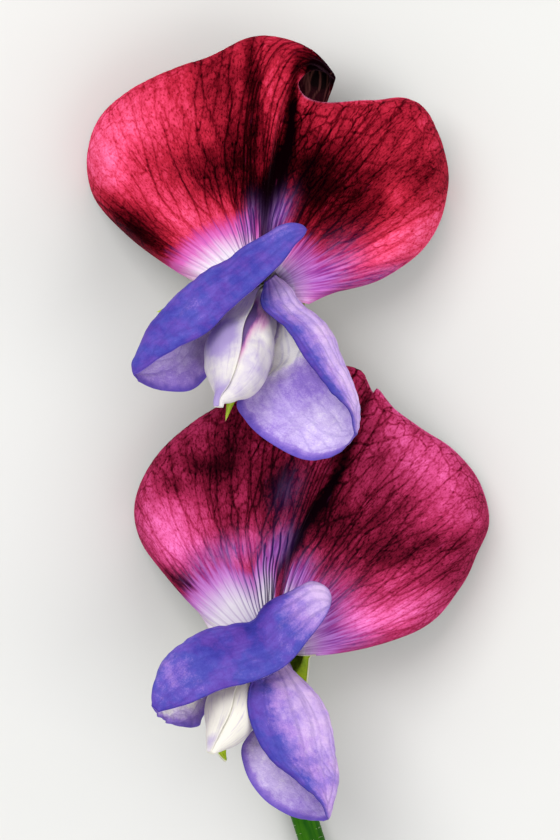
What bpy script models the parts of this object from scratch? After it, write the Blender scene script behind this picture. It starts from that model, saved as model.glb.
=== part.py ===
"""Sweet pea flower stem: two open blooms on one cut stem, laid on its back on a surface.

The plan is read like a page: +X right, +Y up the stem, +Z up from the surface towards the
viewer. Lengths are in millimetres until they become a mesh, and MM turns them into metres.
Petals are thin sheets: a flat grid is laid along the petal's own lines, then given a wall.
"""

import math

import bmesh
import bpy
import numpy as np

MM = 0.001
PLAN_CENTRE = (0.8, -27.6)  # plan point that lies over the origin, under the middle of the part

PETAL_WALL = 0.6
CALYX_WALL = 0.6
SHEATH_WALL = 0.3
SEAM_MERGE = 0.00001  # metres, for the edges of a grid that meet

# The standard's claw is a gutter that stands in the calyx before the blade bends outwards.
CLAW_HEIGHT = 8.4  # where it begins
CLAW_RADIUS = 2.45
CLAW_RISE = 2.3
CLAW_BEND = 1.9
CLAW_SHARE = 0.18  # shares of the grid's rows that end at the claw, the blade and the curl
BLADE_SHARE = 0.58
CURL_SHARE = 0.92
CURL_MOST = 0.45  # of a rib's free reach
SAG = 1.4  # how late along a rib it drops to its rim height
CREASE_START = 5.0  # a crease fades in from here over the length after it
CREASE_FADE = 8.0

# The calyx is a bell from its base below the throat up to its mouth.
MOUTH_HEIGHT = 10.5
MOUTH_RADIUS = 3.95
CALYX_LEAN = (0.7, 1.4, -5.3)  # from the mouth's centre to the base
TUBE_SHARE = 0.55  # of the grid's rows, before the teeth
TOOTH_POINT = 0.95  # below 1 the teeth are drawn out thin
TOOTH_FLARE = 0.5

WING_FOLD = 0.42  # share of a wing's rows on its near flap
HOOD_DEPTH = 5.0
FLAP_ARCH = 0.9  # how strongly a flap arches on its way to its free margin
FAR_DROP = 1.4
KEEL_SLIT = 9.0  # degrees from the middle to each lip

STEM_APOTHEM = 1.35  # half of the cut stem's thickness
STEM_SIDES = 8
STEM_TIP = (0.9, 0.75, 0.5)  # how the last three rings narrow
PEDICEL_RADIUS = 0.75

ANTHERS = 9
MIDDLE_STEPS = 25  # steps along the middle of the keel that the inner pieces are set out on
SHEATH_OPENING = 55.0  # degrees from the slit to each edge of the sheath

# Centre line of the stem, from the cut end up to its tip behind the upper bloom.
STEM_LINE = [(9.2, -94.0), (8.6, -80.0), (7.2, -64.0), (5.3, -50.0), (2.3, -39.7), (-0.2, -32.0),
             (-1.7, -22.0), (-1.9, -10.0), (-1.7, 0.0), (-1.6, 7.6)]

COLOURS = {
    "stem": ((0.33, 0.43, 0.10), 0.55),
    "calyx": ((0.36, 0.47, 0.11), 0.60),
    "standard": ((0.38, 0.01, 0.10), 0.55),
    "wing": ((0.16, 0.06, 0.42), 0.50),
    "keel": ((0.74, 0.68, 0.72), 0.45),
    "stamens": ((0.80, 0.78, 0.55), 0.55),
    "pistil": ((0.50, 0.60, 0.25), 0.55),
}

# Each bloom is set out round its throat, where the petals leave the calyx.
# A rim point is (x, y, heading): where a rib of the standard ends in plan, and the heading in
# degrees from +X at which that rib leaves the claw.
# A reflex key is (heading, radius, turn, tail, rim height): how the petal curls back there.
# A hook is (heading, strength): how late a rib swings over from its heading to its end. The
# ribs beside the upper bloom's notch hook round it.
# A crease is (heading, width, depth). A wing is three lines: the free margin of its near flap,
# its crest, and the margin of its far flap, which dips into the calyx as the wing's claw.
# A keel place is (x, y, z, half width, half height). A tooth is (heading, length, direction).
UPPER = {
    "name": "upper",
    "throat": (-1.8, 12.8),
    "rim": [(-7.2, 13.3, 172), (-10.3, 14.9, 169), (-15.3, 18.6, 165), (-18.9, 22.8, 159),
            (-19.3, 27.4, 149), (-17.3, 31.4, 139), (-12.8, 34.3, 128), (-7.3, 36.4, 116),
            (-2.3, 38.5, 106), (1.8, 37.8, 100), (4.5, 35.7, 96), (5.5, 34.3, 93.5),
            (4.5, 34.9, 92), (3.3, 35.1, 91), (2.3, 34.5, 90), (1.8, 33.6, 88.5),
            (2.7, 32.3, 86), (4.9, 31.8, 79), (9.2, 32.1, 68), (13.4, 32.1, 56), (16.0, 28.5, 42),
            (17.0, 23.4, 27), (15.2, 18.2, 13), (10.6, 14.4, 0), (5.4, 12.8, -10),
            (2.8, 11.6, -18)],
    "reflex": [(172, 2.0, 30, 0.4, 12.0), (167, 4.0, 70, 1.5, 6.0), (157, 6.0, 84, 3.0, -0.25),
               (136, 5.0, 95, 2.5, 1.5), (116, 2.2, 165, 2.5, 5.0), (98, 1.7, 185, 3.2, 7.6),
               (93.6, 1.7, 180, 3.0, 7.8), (92.2, 1.2, 60, 0.6, 10.6), (91, 0.8, 30, 0.3, 11.3),
               (86, 0.8, 25, 0.3, 11.4), (79, 2.0, 40, 0.6, 10.4), (68, 3.0, 60, 0.8, 9.0),
               (52, 3.6, 95, 1.5, 5.0), (27, 6.0, 84, 3.0, -0.25), (6, 4.0, 75, 1.5, 4.5),
               (-18, 2.0, 30, 0.4, 12.0)],
    "hook": [(86, 0.0), (88.5, 0.2), (90, 0.8), (91, 1.3), (92, 1.6), (93.5, 2.0), (96, 2.0),
             (100, 1.2), (106, 0.0)],
    "creases": [(88, 5, 1.3), (104, 5, 0.7)],
    "left_wing": {
        "near": [(2.6, 18.7, 16.9), (2.3, 18.2, 17.3), (1.5, 17.4, 18.0), (0.6, 16.1, 18.6),
                 (-1.8, 13.7, 20.0), (-5.2, 10.7, 21.5), (-7.2, 8.7, 22.5), (-10.3, 7.1, 24.0),
                 (-12.2, 5.9, 25.0), (-14.1, 4.6, 25.6)],
        "crest": [(2.65, 18.95, 16.5), (2.3, 19.35, 16.6), (1.6, 19.55, 16.8), (0.8, 19.5, 16.9),
                  (-0.9, 18.9, 17.3), (-3.2, 17.3, 17.8), (-6.6, 15.0, 18.5), (-9.6, 12.9, 19.5),
                  (-12.0, 10.5, 21.0), (-13.5, 7.8, 22.5), (-14.6, 5.3, 24.2), (-14.5, 4.5, 25.2)],
        "far": [(2.4, 18.6, 16.0), (0.6, 16.6, 14.6), (-1.7, 14.0, 12.9), (-2.65, 12.9, 8.9),
                (-5.0, 11.4, 13.3), (-7.0, 7.2, 13.9), (-7.4, 4.3, 15.8), (-8.8, 3.0, 17.5),
                (-11.5, 2.9, 19.5), (-13.6, 3.6, 22.5), (-14.3, 4.3, 24.8)],
    },
    "right_wing": {
        "near": [(-1.8, 12.8, 14.6), (-1.8, 11.3, 17.6), (0.4, 9.3, 19.2), (2.6, 6.0, 21.4),
                 (5.0, 2.9, 23.5), (7.0, 0.5, 25.8), (7.3, -1.3, 26.8)],
        "crest": [(-1.0, 13.0, 13.6), (0.4, 12.8, 14.4), (1.8, 12.0, 15.0), (4.5, 9.3, 16.8),
                  (6.1, 6.2, 19.0), (7.4, 3.1, 21.5), (7.9, -0.4, 24.5), (7.6, -1.4, 26.2)],
        "far": [(-0.3, 12.9, 8.8), (0.3, 9.6, 13.2), (-0.8, 7.0, 14.6), (-1.2, 4.8, 15.6),
                (-3.9, 2.4, 17.0), (-4.3, 1.6, 17.5), (-3.4, -0.1, 18.4), (-0.3, -2.7, 20.4),
                (3.0, -4.0, 22.6), (6.1, -3.1, 24.8), (7.3, -1.7, 26.2)],
    },
    "keel": [(-1.8, 11.6, 8.8, 1.0, 1.0), (-2.3, 10.8, 12.0, 1.5, 1.4),
             (-3.3, 8.8, 15.8, 2.8, 2.4), (-4.1, 6.7, 19.0, 3.3, 2.8),
             (-4.4, 4.5, 21.5, 2.8, 2.5), (-5.3, 2.6, 23.5, 1.6, 1.6), (-6.1, 1.3, 24.8, 0.5, 0.5)],
    "teeth": [(-58, 7.0, (0.28, -1.0, 0.36)), (40, 5.5, (0.9, 1.0, -0.12)),
              (120, 5.5, (-0.5, 1.0, -0.12)), (198, 6.6, (-1.0, -0.1, -0.05)),
              (255, 10.4, (-0.34, -1.0, 0.42))],
    "pedicel": [(-1.6, 5.5, 1.35), (-1.5, 10.4, 1.5), (-1.3, 13.0, 2.3), (-1.1, 14.1, 3.8),
                (-1.1, 14.2, 4.5)],
}

LOWER = {
    "name": "lower",
    "throat": (-0.8, -23.2),
    "rim": [(-6.4, -22.2, 172), (-8.2, -19.2, 168), (-11.8, -15.1, 161), (-14.1, -12.0, 152),
            (-14.6, -8.0, 142), (-12.6, -3.9, 132), (-8.4, -0.1, 121), (-3.4, 2.6, 110),
            (1.2, 4.4, 101), (5.2, 5.4, 94), (8.0, 4.9, 88), (9.3, 2.8, 84), (9.9, 3.1, 80),
            (11.6, 1.0, 74), (14.4, -0.9, 65), (17.9, -3.4, 52), (20.4, -6.9, 38),
            (21.1, -10.4, 25), (19.8, -13.8, 14), (18.0, -17.3, 4), (14.6, -20.8, -5),
            (9.5, -22.5, -12), (6.4, -22.9, -18), (4.5, -24.4, -23)],
    "reflex": [(172, 2.0, 30, 0.4, 12.0), (165, 4.0, 70, 1.0, 5.0), (148, 5.0, 80, 2.0, 0.3),
               (128, 4.5, 90, 1.5, 2.0), (106, 2.0, 160, 2.0, 6.0), (90, 1.6, 150, 2.0, 7.0),
               (84, 1.6, 40, 0.5, 9.8), (80, 2.0, 60, 0.5, 9.0), (62, 3.0, 80, 1.0, 4.0),
               (30, 6.0, 80, 2.5, 0.3), (4, 5.0, 75, 1.5, 1.5), (-12, 3.0, 60, 1.0, 6.5),
               (-23, 2.0, 30, 0.4, 12.0)],
    "hook": [(0, 0.0)],
    "creases": [(84, 5, 1.5), (107, 6, 0.6)],
    "left_wing": {
        "near": [(5.05, -18.5, 16.3), (4.7, -19.3, 16.8), (2.9, -21.8, 18.0), (0.6, -24.4, 19.2),
                 (-2.4, -25.9, 20.4), (-5.7, -26.7, 21.8), (-9.0, -28.1, 23.2), (-12.0, -28.9, 24.8)],
        "crest": [(5.1, -18.1, 15.6), (4.95, -17.4, 15.7), (4.3, -16.6, 15.8), (3.2, -16.2, 16.0),
                  (0.9, -17.3, 16.5), (-1.4, -18.6, 17.0), (-2.6, -20.0, 17.3), (-4.7, -20.4, 18.0),
                  (-8.4, -21.3, 19.5), (-10.7, -23.1, 21.0), (-12.5, -26.3, 23.0), (-12.7, -28.3, 24.5)],
        "far": [(4.85, -18.3, 15.3), (2.0, -20.4, 13.6), (-0.7, -21.9, 12.7), (-1.8, -23.0, 8.8),
                (-4.1, -24.6, 13.3), (-7.2, -28.0, 14.2), (-8.2, -30.5, 16.2), (-9.8, -30.5, 18.6),
                (-11.3, -29.9, 21.5), (-12.2, -29.0, 24.2)],
    },
    "right_wing": {
        "near": [(-1.0, -23.9, 14.2), (-2.6, -25.4, 17.0), (-3.2, -28.9, 20.4), (-1.4, -33.1, 22.2),
                 (1.8, -35.9, 23.8), (4.2, -38.2, 25.0), (4.6, -39.3, 25.5)],
        "crest": [(-0.2, -23.6, 13.4), (1.3, -25.2, 14.2), (3.1, -26.7, 15.3), (4.7, -29.3, 17.0),
                  (5.5, -33.1, 19.5), (5.4, -38.0, 23.0), (4.8, -39.5, 24.8)],
        "far": [(0.7, -23.2, 8.8), (1.2, -26.6, 13.2), (-0.9, -29.8, 14.4), (-2.7, -31.0, 15.4),
                (-3.8, -32.6, 16.4), (-3.5, -34.8, 17.6), (-1.7, -37.6, 19.5), (1.1, -39.3, 21.5),
                (4.3, -39.7, 24.4)],
    },
    "keel": [(-0.8, -24.4, 8.8, 1.0, 1.0), (-1.7, -25.4, 12.0, 1.3, 1.3),
             (-3.3, -26.9, 14.8, 1.9, 1.9), (-5.0, -28.6, 17.4, 2.1, 2.2),
             (-5.7, -30.4, 19.8, 1.9, 2.0), (-6.4, -32.1, 21.6, 1.2, 1.2),
             (-6.9, -33.0, 22.5, 0.5, 0.5)],
    "teeth": [(-60, 6.0, (0.3, -1.0, 0.3)), (40, 5.5, (0.9, 1.0, -0.12)),
              (118, 5.5, (-0.5, 1.0, -0.12)), (200, 6.0, (-1.0, -0.3, -0.05)),
              (244, 9.4, (-0.55, -1.0, 0.42))],
    "pedicel": [(-0.6, -30.5, 1.4), (0.3, -27.2, 1.9), (0.5, -24.0, 2.5), (0.1, -22.2, 3.6),
                (-0.1, -21.8, 4.5)],
}

for item in list(bpy.data.objects):
    bpy.data.objects.remove(item, do_unlink=True)

root = bpy.data.objects.new("flower_stem", None)
bpy.context.collection.objects.link(root)
root.location = (-PLAN_CENTRE[0] * MM, -PLAN_CENTRE[1] * MM, 0.0)


def material_of(kind):
    """The plain finish of one kind of piece."""
    material = bpy.data.materials.get(kind)
    if material is None:
        material = bpy.data.materials.new(kind)
        material.use_nodes = True
        colour, roughness = COLOURS[kind]
        shader = material.node_tree.nodes["Principled BSDF"]
        shader.inputs["Base Color"].default_value = (*colour, 1.0)
        shader.inputs["Roughness"].default_value = roughness
        shader.inputs["Metallic"].default_value = 0.0
    return material


def through(keys, values, at):
    """Reads the smooth line through values at rising keys, at other keys."""
    keys = np.asarray(keys, float)
    values = np.asarray(values, float)
    slopes = np.gradient(values, keys, axis=0)
    i = np.clip(np.searchsorted(keys, at, side="right") - 1, 0, len(keys) - 2)
    width = keys[i + 1] - keys[i]
    t = (at - keys[i]) / width
    if values.ndim == 2:
        width, t = width[:, None], t[:, None]
    smooth = t * t * (3 - 2 * t)
    return (values[i] * (1 - smooth) + values[i + 1] * smooth
            + width * (slopes[i] * t * (1 - t) ** 2 - slopes[i + 1] * t * t * (1 - t)))


def line_through(points, count):
    """Evenly spaced points along the smooth line through a few given ones."""
    points = np.asarray(points, float)
    chords = np.concatenate([[0], np.cumsum(np.linalg.norm(np.diff(points[:, :3], axis=0), axis=1))])
    fine = through(chords, points, np.linspace(0, chords[-1], 400))
    run = np.concatenate([[0], np.cumsum(np.linalg.norm(np.diff(fine[:, :3], axis=0), axis=1))])
    return through(chords, points, np.interp(np.linspace(0, run[-1], count), run,
                                             np.linspace(0, chords[-1], 400)))


def directions(line):
    """For each point of a line, the unit directions across it: one near +X, and one that, on the
    lines that lean out of a throat, points to the side that faces the standard."""
    along = np.gradient(line, axis=0)
    along /= np.linalg.norm(along, axis=1)[:, None]
    side = np.array([1.0, 0.0, 0.0]) - along * along[:, :1]
    side /= np.linalg.norm(side, axis=1)[:, None]
    return side, np.cross(along, side)


def sheet(name, kind, places, wall, wrapped=False):
    """A thin solid along a grid of places, split into triangles before it gets its wall."""
    columns, rows = places.shape[:2]
    mesh = bpy.data.meshes.new(name)
    form = bmesh.new()
    bmesh.ops.create_grid(form, x_segments=columns - 1, y_segments=rows - 1, size=1.0)
    for vert in form.verts:
        column = round((vert.co.x + 1) / 2 * (columns - 1))
        row = round((vert.co.y + 1) / 2 * (rows - 1))
        vert.co = places[column, row] * MM
    if wrapped:
        bmesh.ops.remove_doubles(form, verts=form.verts, dist=SEAM_MERGE)
    bmesh.ops.triangulate(form, faces=form.faces, quad_method="ALTERNATE")
    form.to_mesh(mesh)
    form.free()
    mesh.materials.append(material_of(kind))
    mesh.shade_smooth()
    piece = bpy.data.objects.new(name, mesh)
    bpy.context.collection.objects.link(piece)
    piece.parent = root
    if wall:
        solidify = piece.modifiers.new("wall", "SOLIDIFY")
        solidify.thickness = wall * MM
        solidify.offset = 0.0
        solidify.use_even_offset = False
    return piece


def rod(name, kind, line, sides, turn=0.0):
    """A closed rod along a line of (x, y, z, radius), round or with flat sides."""
    line = np.asarray(line, float)
    side, up = directions(line[:, :3])
    angles = np.linspace(0, 2 * math.pi, sides + 1) + turn
    ring = np.cos(angles)[:, None, None] * side + np.sin(angles)[:, None, None] * up
    places = line[:, :3] + ring * line[:, 3:4]
    ends = np.repeat(line[[0, -1], :3][None], sides + 1, axis=0)
    places = np.concatenate([ends[:, :1], places, ends[:, 1:]], axis=1)
    places[-1] = places[0]
    return sheet(name, kind, places, 0, wrapped=True)


def rib(reach, radius, turn, tail, rim_height, rows):
    """One rib of the standard from the side: how far out and how high each row lies."""
    spread = reach - CLAW_RADIUS - CLAW_BEND
    radius = min(radius, CURL_MOST * spread)
    turn = math.radians(turn)
    used = radius * math.sin(min(turn, math.pi / 2)) + max(0.0, tail * math.cos(turn))
    blade = max(spread - used, 0.2)
    stops = np.cumsum([0, CLAW_RISE, CLAW_BEND * math.pi / 2, blade, radius * turn, tail])
    run = np.linspace(0, stops[-1], 300)
    slope = np.interp(run, stops, [math.pi / 2, math.pi / 2, 0, 0, -turn, -turn])
    out = CLAW_RADIUS + np.concatenate([[0], np.cumsum(np.cos(slope[1:]) * run[1])])
    height = CLAW_HEIGHT + np.concatenate([[0], np.cumsum(np.sin(slope[1:]) * run[1])])
    progress = np.clip((run - stops[2]) / (stops[-1] - stops[2]), 0, 1)
    height += (rim_height - height[-1]) * progress ** SAG
    shares = [0, CLAW_SHARE, BLADE_SHARE, CURL_SHARE, 1]
    stations = np.interp(np.linspace(0, 1, rows), shares, stops[[0, 2, 3, 4, 5]])
    return np.interp(stations, run, out), np.interp(stations, run, height)


def standard_places(bloom, columns, rows):
    """The broad back petal: ribs that leave the claw upwards, spread, and curl back."""
    throat = np.array(bloom["throat"])
    rim = np.array(bloom["rim"], float)
    rim = through(np.arange(len(rim)), rim, np.linspace(0, len(rim) - 1, columns))
    keys = np.array(bloom["reflex"], float)[::-1]
    places = np.zeros((columns, rows, 3))
    for i, (x, y, heading) in enumerate(rim):
        end = np.array([x, y]) - throat
        reach = np.linalg.norm(end)
        reflex = [np.interp(heading, keys[:, 0], keys[:, k]) for k in range(1, 5)]
        out, height = rib(reach, *reflex, rows)
        fade = np.clip((out - CREASE_START) / CREASE_FADE, 0, 1)
        for middle, width, depth in bloom["creases"]:
            height -= depth * math.exp(-((heading - middle) / width) ** 2) * fade
        first = np.array([math.cos(math.radians(heading)), math.sin(math.radians(heading))])
        hook = np.interp(heading, *np.transpose(bloom["hook"]))
        furthest = np.maximum.accumulate(out)
        share = np.clip(furthest / reach, 0, 1)[:, None]
        places[i, :, :2] = (throat + share * (1 - share) * (1 + hook * share) * first * reach
                            + share ** 2 * end
                            + (out - furthest)[:, None] * end / reach)
        places[i, :, 2] = height
    return places


def wing_places(guides, columns, rows):
    """A wing petal: a hood folded along its crest, with a near flap and a far flap."""
    near, crest, far = (line_through(guides[name], columns) for name in ("near", "crest", "far"))
    down = np.zeros((columns, 3))
    down[:, 2] = -np.minimum(np.linalg.norm(crest - near, axis=1), HOOD_DEPTH)
    places = np.zeros((columns, rows, 3))
    for j, w in enumerate(np.linspace(0, 1, rows)):
        if w <= WING_FOLD:
            t, start, end = w / WING_FOLD, near, crest
            first, last = (crest - near) * FLAP_ARCH, down
        else:
            t, start, end = (w - WING_FOLD) / (1 - WING_FOLD), crest, far
            first, last = down * FAR_DROP, (far - crest) * FLAP_ARCH
        smooth = t * t * (3 - 2 * t)
        places[:, j] = (start * (1 - smooth) + end * smooth
                        + first * t * (1 - t) ** 2 - last * t * t * (1 - t))
    return places


def keel_places(line, columns, rows):
    """The boat-shaped pair of joined petals, open by a slit along the side to the standard."""
    line = line_through(line, rows)
    side, up = directions(line[:, :3])
    slit = math.radians(KEEL_SLIT)
    angles = np.linspace(slit, 2 * math.pi - slit, columns)[:, None, None]
    return line[:, :3] + (np.sin(angles) * side * line[:, 3:4] + np.cos(angles) * up * line[:, 4:5])


def calyx_column(base, mouth, angle, lean, tooth, rows):
    """One line of the calyx from its base up the bell, then out along a tooth."""
    ring = np.array([math.cos(angle), math.sin(angle), 0.0])
    column = []
    for v in np.linspace(0, 1, rows):
        rise = min(v / TUBE_SHARE, 1.0)
        bell = MOUTH_RADIUS * math.sin(min(rise * 1.25, 1.0) * math.pi / 2) ** 0.8
        beyond = max(0.0, (v - TUBE_SHARE) / (1 - TUBE_SHARE))
        place = base + (mouth - base) * rise ** 1.3 + ring * (bell + TOOTH_FLARE * beyond)
        column.append(place + lean * tooth * beyond)
    return column


def calyx_places(bloom, columns_per_tooth, rows):
    """The green cup: a bell that ends in five long teeth."""
    mouth = np.array([*bloom["throat"], MOUTH_HEIGHT])
    base = mouth + CALYX_LEAN
    teeth = bloom["teeth"]
    places = []
    for k, (heading, length, lean) in enumerate(teeth):
        before = teeth[k - 1][0] - (360 if k == 0 else 0)
        after = teeth[(k + 1) % len(teeth)][0] + (360 if k == len(teeth) - 1 else 0)
        lean = np.array(lean) / np.linalg.norm(lean)
        for share in np.linspace(-1, 1, columns_per_tooth, endpoint=False):
            half_way = ((before if share < 0 else after) - heading) / 2
            angle = math.radians(heading + abs(share) * half_way)
            tooth = length * (1 - abs(share) ** TOOTH_POINT)
            places.append(calyx_column(base, mouth, angle, lean, tooth, rows))
    return np.array(places + places[:1])


def build_stamens(bloom):
    """The sheath of joined filaments, open towards the slit, with its ring of anthers."""
    line = line_through([place[:3] for place in bloom["keel"]], MIDDLE_STEPS)
    side, up = directions(line)
    rows = np.arange(0, 17, 2)
    radius = np.interp(rows, [0, 4, 8, 16], [0.5, 0.75, 1.05, 0.85])[:, None]
    angles = np.linspace(math.radians(SHEATH_OPENING), math.radians(360 - SHEATH_OPENING), 8)
    spokes = np.sin(angles)[:, None, None] * side + np.cos(angles)[:, None, None] * up
    places = line[rows] + spokes[:, rows] * radius
    sheath = sheet(f"stamens_{bloom['name']}", "stamens", places, SHEATH_WALL)
    anthers = bpy.data.collections.new(f"anthers_{bloom['name']}")
    for k, angle in enumerate(np.linspace(angles[0], angles[-1], ANTHERS)):
        spoke = math.sin(angle) * side + math.cos(angle) * up
        late = k % 2
        shape = [(15, 0.85, 0.12), (17, 0.8, 0.12), (18 + late, 0.65, 0.28), (19 + late, 0.6, 0.16)]
        filament = [(*(line[step] + spoke[step] * out), thick) for step, out, thick in shape]
        anther = rod(f"anther_{bloom['name']}_{k}", "stamens", filament, 4)
        bpy.context.collection.objects.unlink(anther)
        anthers.objects.link(anther)
        anther.hide_render = True
        anther.display_type = "WIRE"
    bpy.context.scene.collection.children.link(anthers)
    anthers.hide_render = True
    union = sheath.modifiers.new("anthers", "BOOLEAN")
    union.operation = "UNION"
    union.operand_type = "COLLECTION"
    union.collection = anthers


def build_pistil(bloom):
    """The flat young pod inside the sheath, drawn out into a thin style."""
    line = line_through([place[:3] for place in bloom["keel"]], MIDDLE_STEPS)
    shape = [(1, 0.16), (3, 0.25), (5, 0.42), (8, 0.55), (11, 0.5), (14, 0.35), (16, 0.22),
             (18, 0.18), (20, 0.18), (22, 0.12)]
    rod(f"pistil_{bloom['name']}", "pistil", [(*line[step], thick) for step, thick in shape], 6)


def build_bloom(bloom):
    """All the pieces of one bloom, from the cup outwards."""
    name = bloom["name"]
    sheet(f"calyx_{name}", "calyx", calyx_places(bloom, 6, 8), CALYX_WALL, wrapped=True)
    sheet(f"standard_{name}", "standard", standard_places(bloom, 49, 13), PETAL_WALL)
    sheet(f"wing_left_{name}", "wing", wing_places(bloom["left_wing"], 19, 10), PETAL_WALL)
    sheet(f"wing_right_{name}", "wing", wing_places(bloom["right_wing"], 19, 10), PETAL_WALL)
    sheet(f"keel_{name}", "keel", keel_places(bloom["keel"], 13, 13), PETAL_WALL)
    build_stamens(bloom)
    build_pistil(bloom)


def build_stem():
    """The cut stem with a flat underside, and the two short stalks that grow out of it."""
    line = line_through([(x, y, STEM_APOTHEM, 0.0) for x, y in STEM_LINE], 34)
    line[:, 3] = STEM_APOTHEM / math.cos(math.pi / STEM_SIDES)
    line[-3:, 3] *= STEM_TIP
    stem = rod("stem", "stem", line, STEM_SIDES, turn=math.pi / STEM_SIDES)
    for bloom in (UPPER, LOWER):
        stalk = line_through([(*p, 0.0) for p in bloom["pedicel"]], 11)
        stalk[:, 3] = PEDICEL_RADIUS
        stalk = rod(f"stalk_{bloom['name']}", "stem", stalk, 8)
        stalk.hide_render = True
        stalk.display_type = "WIRE"
        union = stem.modifiers.new("stalk", "BOOLEAN")
        union.operation = "UNION"
        union.object = stalk


build_stem()
for flower in (UPPER, LOWER):
    build_bloom(flower)
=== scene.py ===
# %% [markdown]
# A sweet pea flower stem
#
# The object is one cut flower stem with two open blooms, laid on its back. This lesson dresses
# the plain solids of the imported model. The petals could be sculpted by hand, but a petal is a
# sheet that follows a few clear lines, so each one is a flat grid laid along those lines by a
# formula. The same lines shaped the plain solids, so every finer petal lands in its place.

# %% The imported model
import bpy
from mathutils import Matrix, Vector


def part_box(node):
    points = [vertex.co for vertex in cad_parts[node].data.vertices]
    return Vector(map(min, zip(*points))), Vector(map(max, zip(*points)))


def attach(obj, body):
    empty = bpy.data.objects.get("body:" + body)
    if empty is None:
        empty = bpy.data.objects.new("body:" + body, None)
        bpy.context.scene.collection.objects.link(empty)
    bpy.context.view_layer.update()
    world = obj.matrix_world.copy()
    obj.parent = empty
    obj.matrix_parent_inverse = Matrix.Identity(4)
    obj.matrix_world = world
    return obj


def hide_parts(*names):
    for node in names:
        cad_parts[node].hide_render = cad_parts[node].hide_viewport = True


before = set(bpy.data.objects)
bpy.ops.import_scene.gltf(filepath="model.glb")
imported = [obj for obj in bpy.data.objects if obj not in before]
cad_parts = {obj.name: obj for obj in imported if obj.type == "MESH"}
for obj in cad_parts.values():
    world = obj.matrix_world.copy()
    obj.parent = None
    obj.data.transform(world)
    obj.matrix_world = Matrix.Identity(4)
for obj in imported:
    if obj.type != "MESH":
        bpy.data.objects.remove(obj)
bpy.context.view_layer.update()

import math

import bmesh
import bpy
import numpy as np
from mathutils import Matrix, Vector, kdtree

print("nodes of the packed model:", len(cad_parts))

# %% [markdown]
# Plan and sizes
#
# The plan is read like a page: x to the right, y up the stem, z from the surface towards the
# viewer, in millimetres. Working in metres would also do, but petals are easier to read in
# millimetres, so one function turns a plan place into the model's metres at the very end.

# %% Plan and sizes
MM = 0.001
PLAN_CENTRE = np.array([0.8, -27.6, 0.0])  # plan place over the model's origin


def to_model(places):
    """Plan places in millimetres as places of the model in metres."""
    return (np.asarray(places, float) - PLAN_CENTRE) * MM


low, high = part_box("stem")
print("the packed stem is", round((high.y - low.y) / MM, 1), "mm long")

# %% [markdown]
# The lines of the upper bloom
#
# Each bloom is set out round its throat, where the petals leave the green cup. Tracing every
# petal point by point would be stiff to change, so only its leading lines are given.
#
# The cup is (radius of its mouth, fullness of its teeth). A rim place is (x, y, heading): where
# a rib of the broad back petal ends, and the heading at which it leaves the claw. A reflex key
# is (heading, radius, turn, tail, rim height): how the petal curls back. A hook is (heading,
# strength): how late a rib swings over from its heading to its end, as beside this bloom's
# notch. A crease is (heading, width, depth). A wing has three lines: the free margin of its
# near flap, its crest, and the margin of its far flap. A keel place is (x, y, z, half width,
# half height). A tooth of the cup is (heading, length, direction), and one that bends also has
# how far it has swung aside at ten millimetres. The pedicel is the thin stalk of the bloom.

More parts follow.
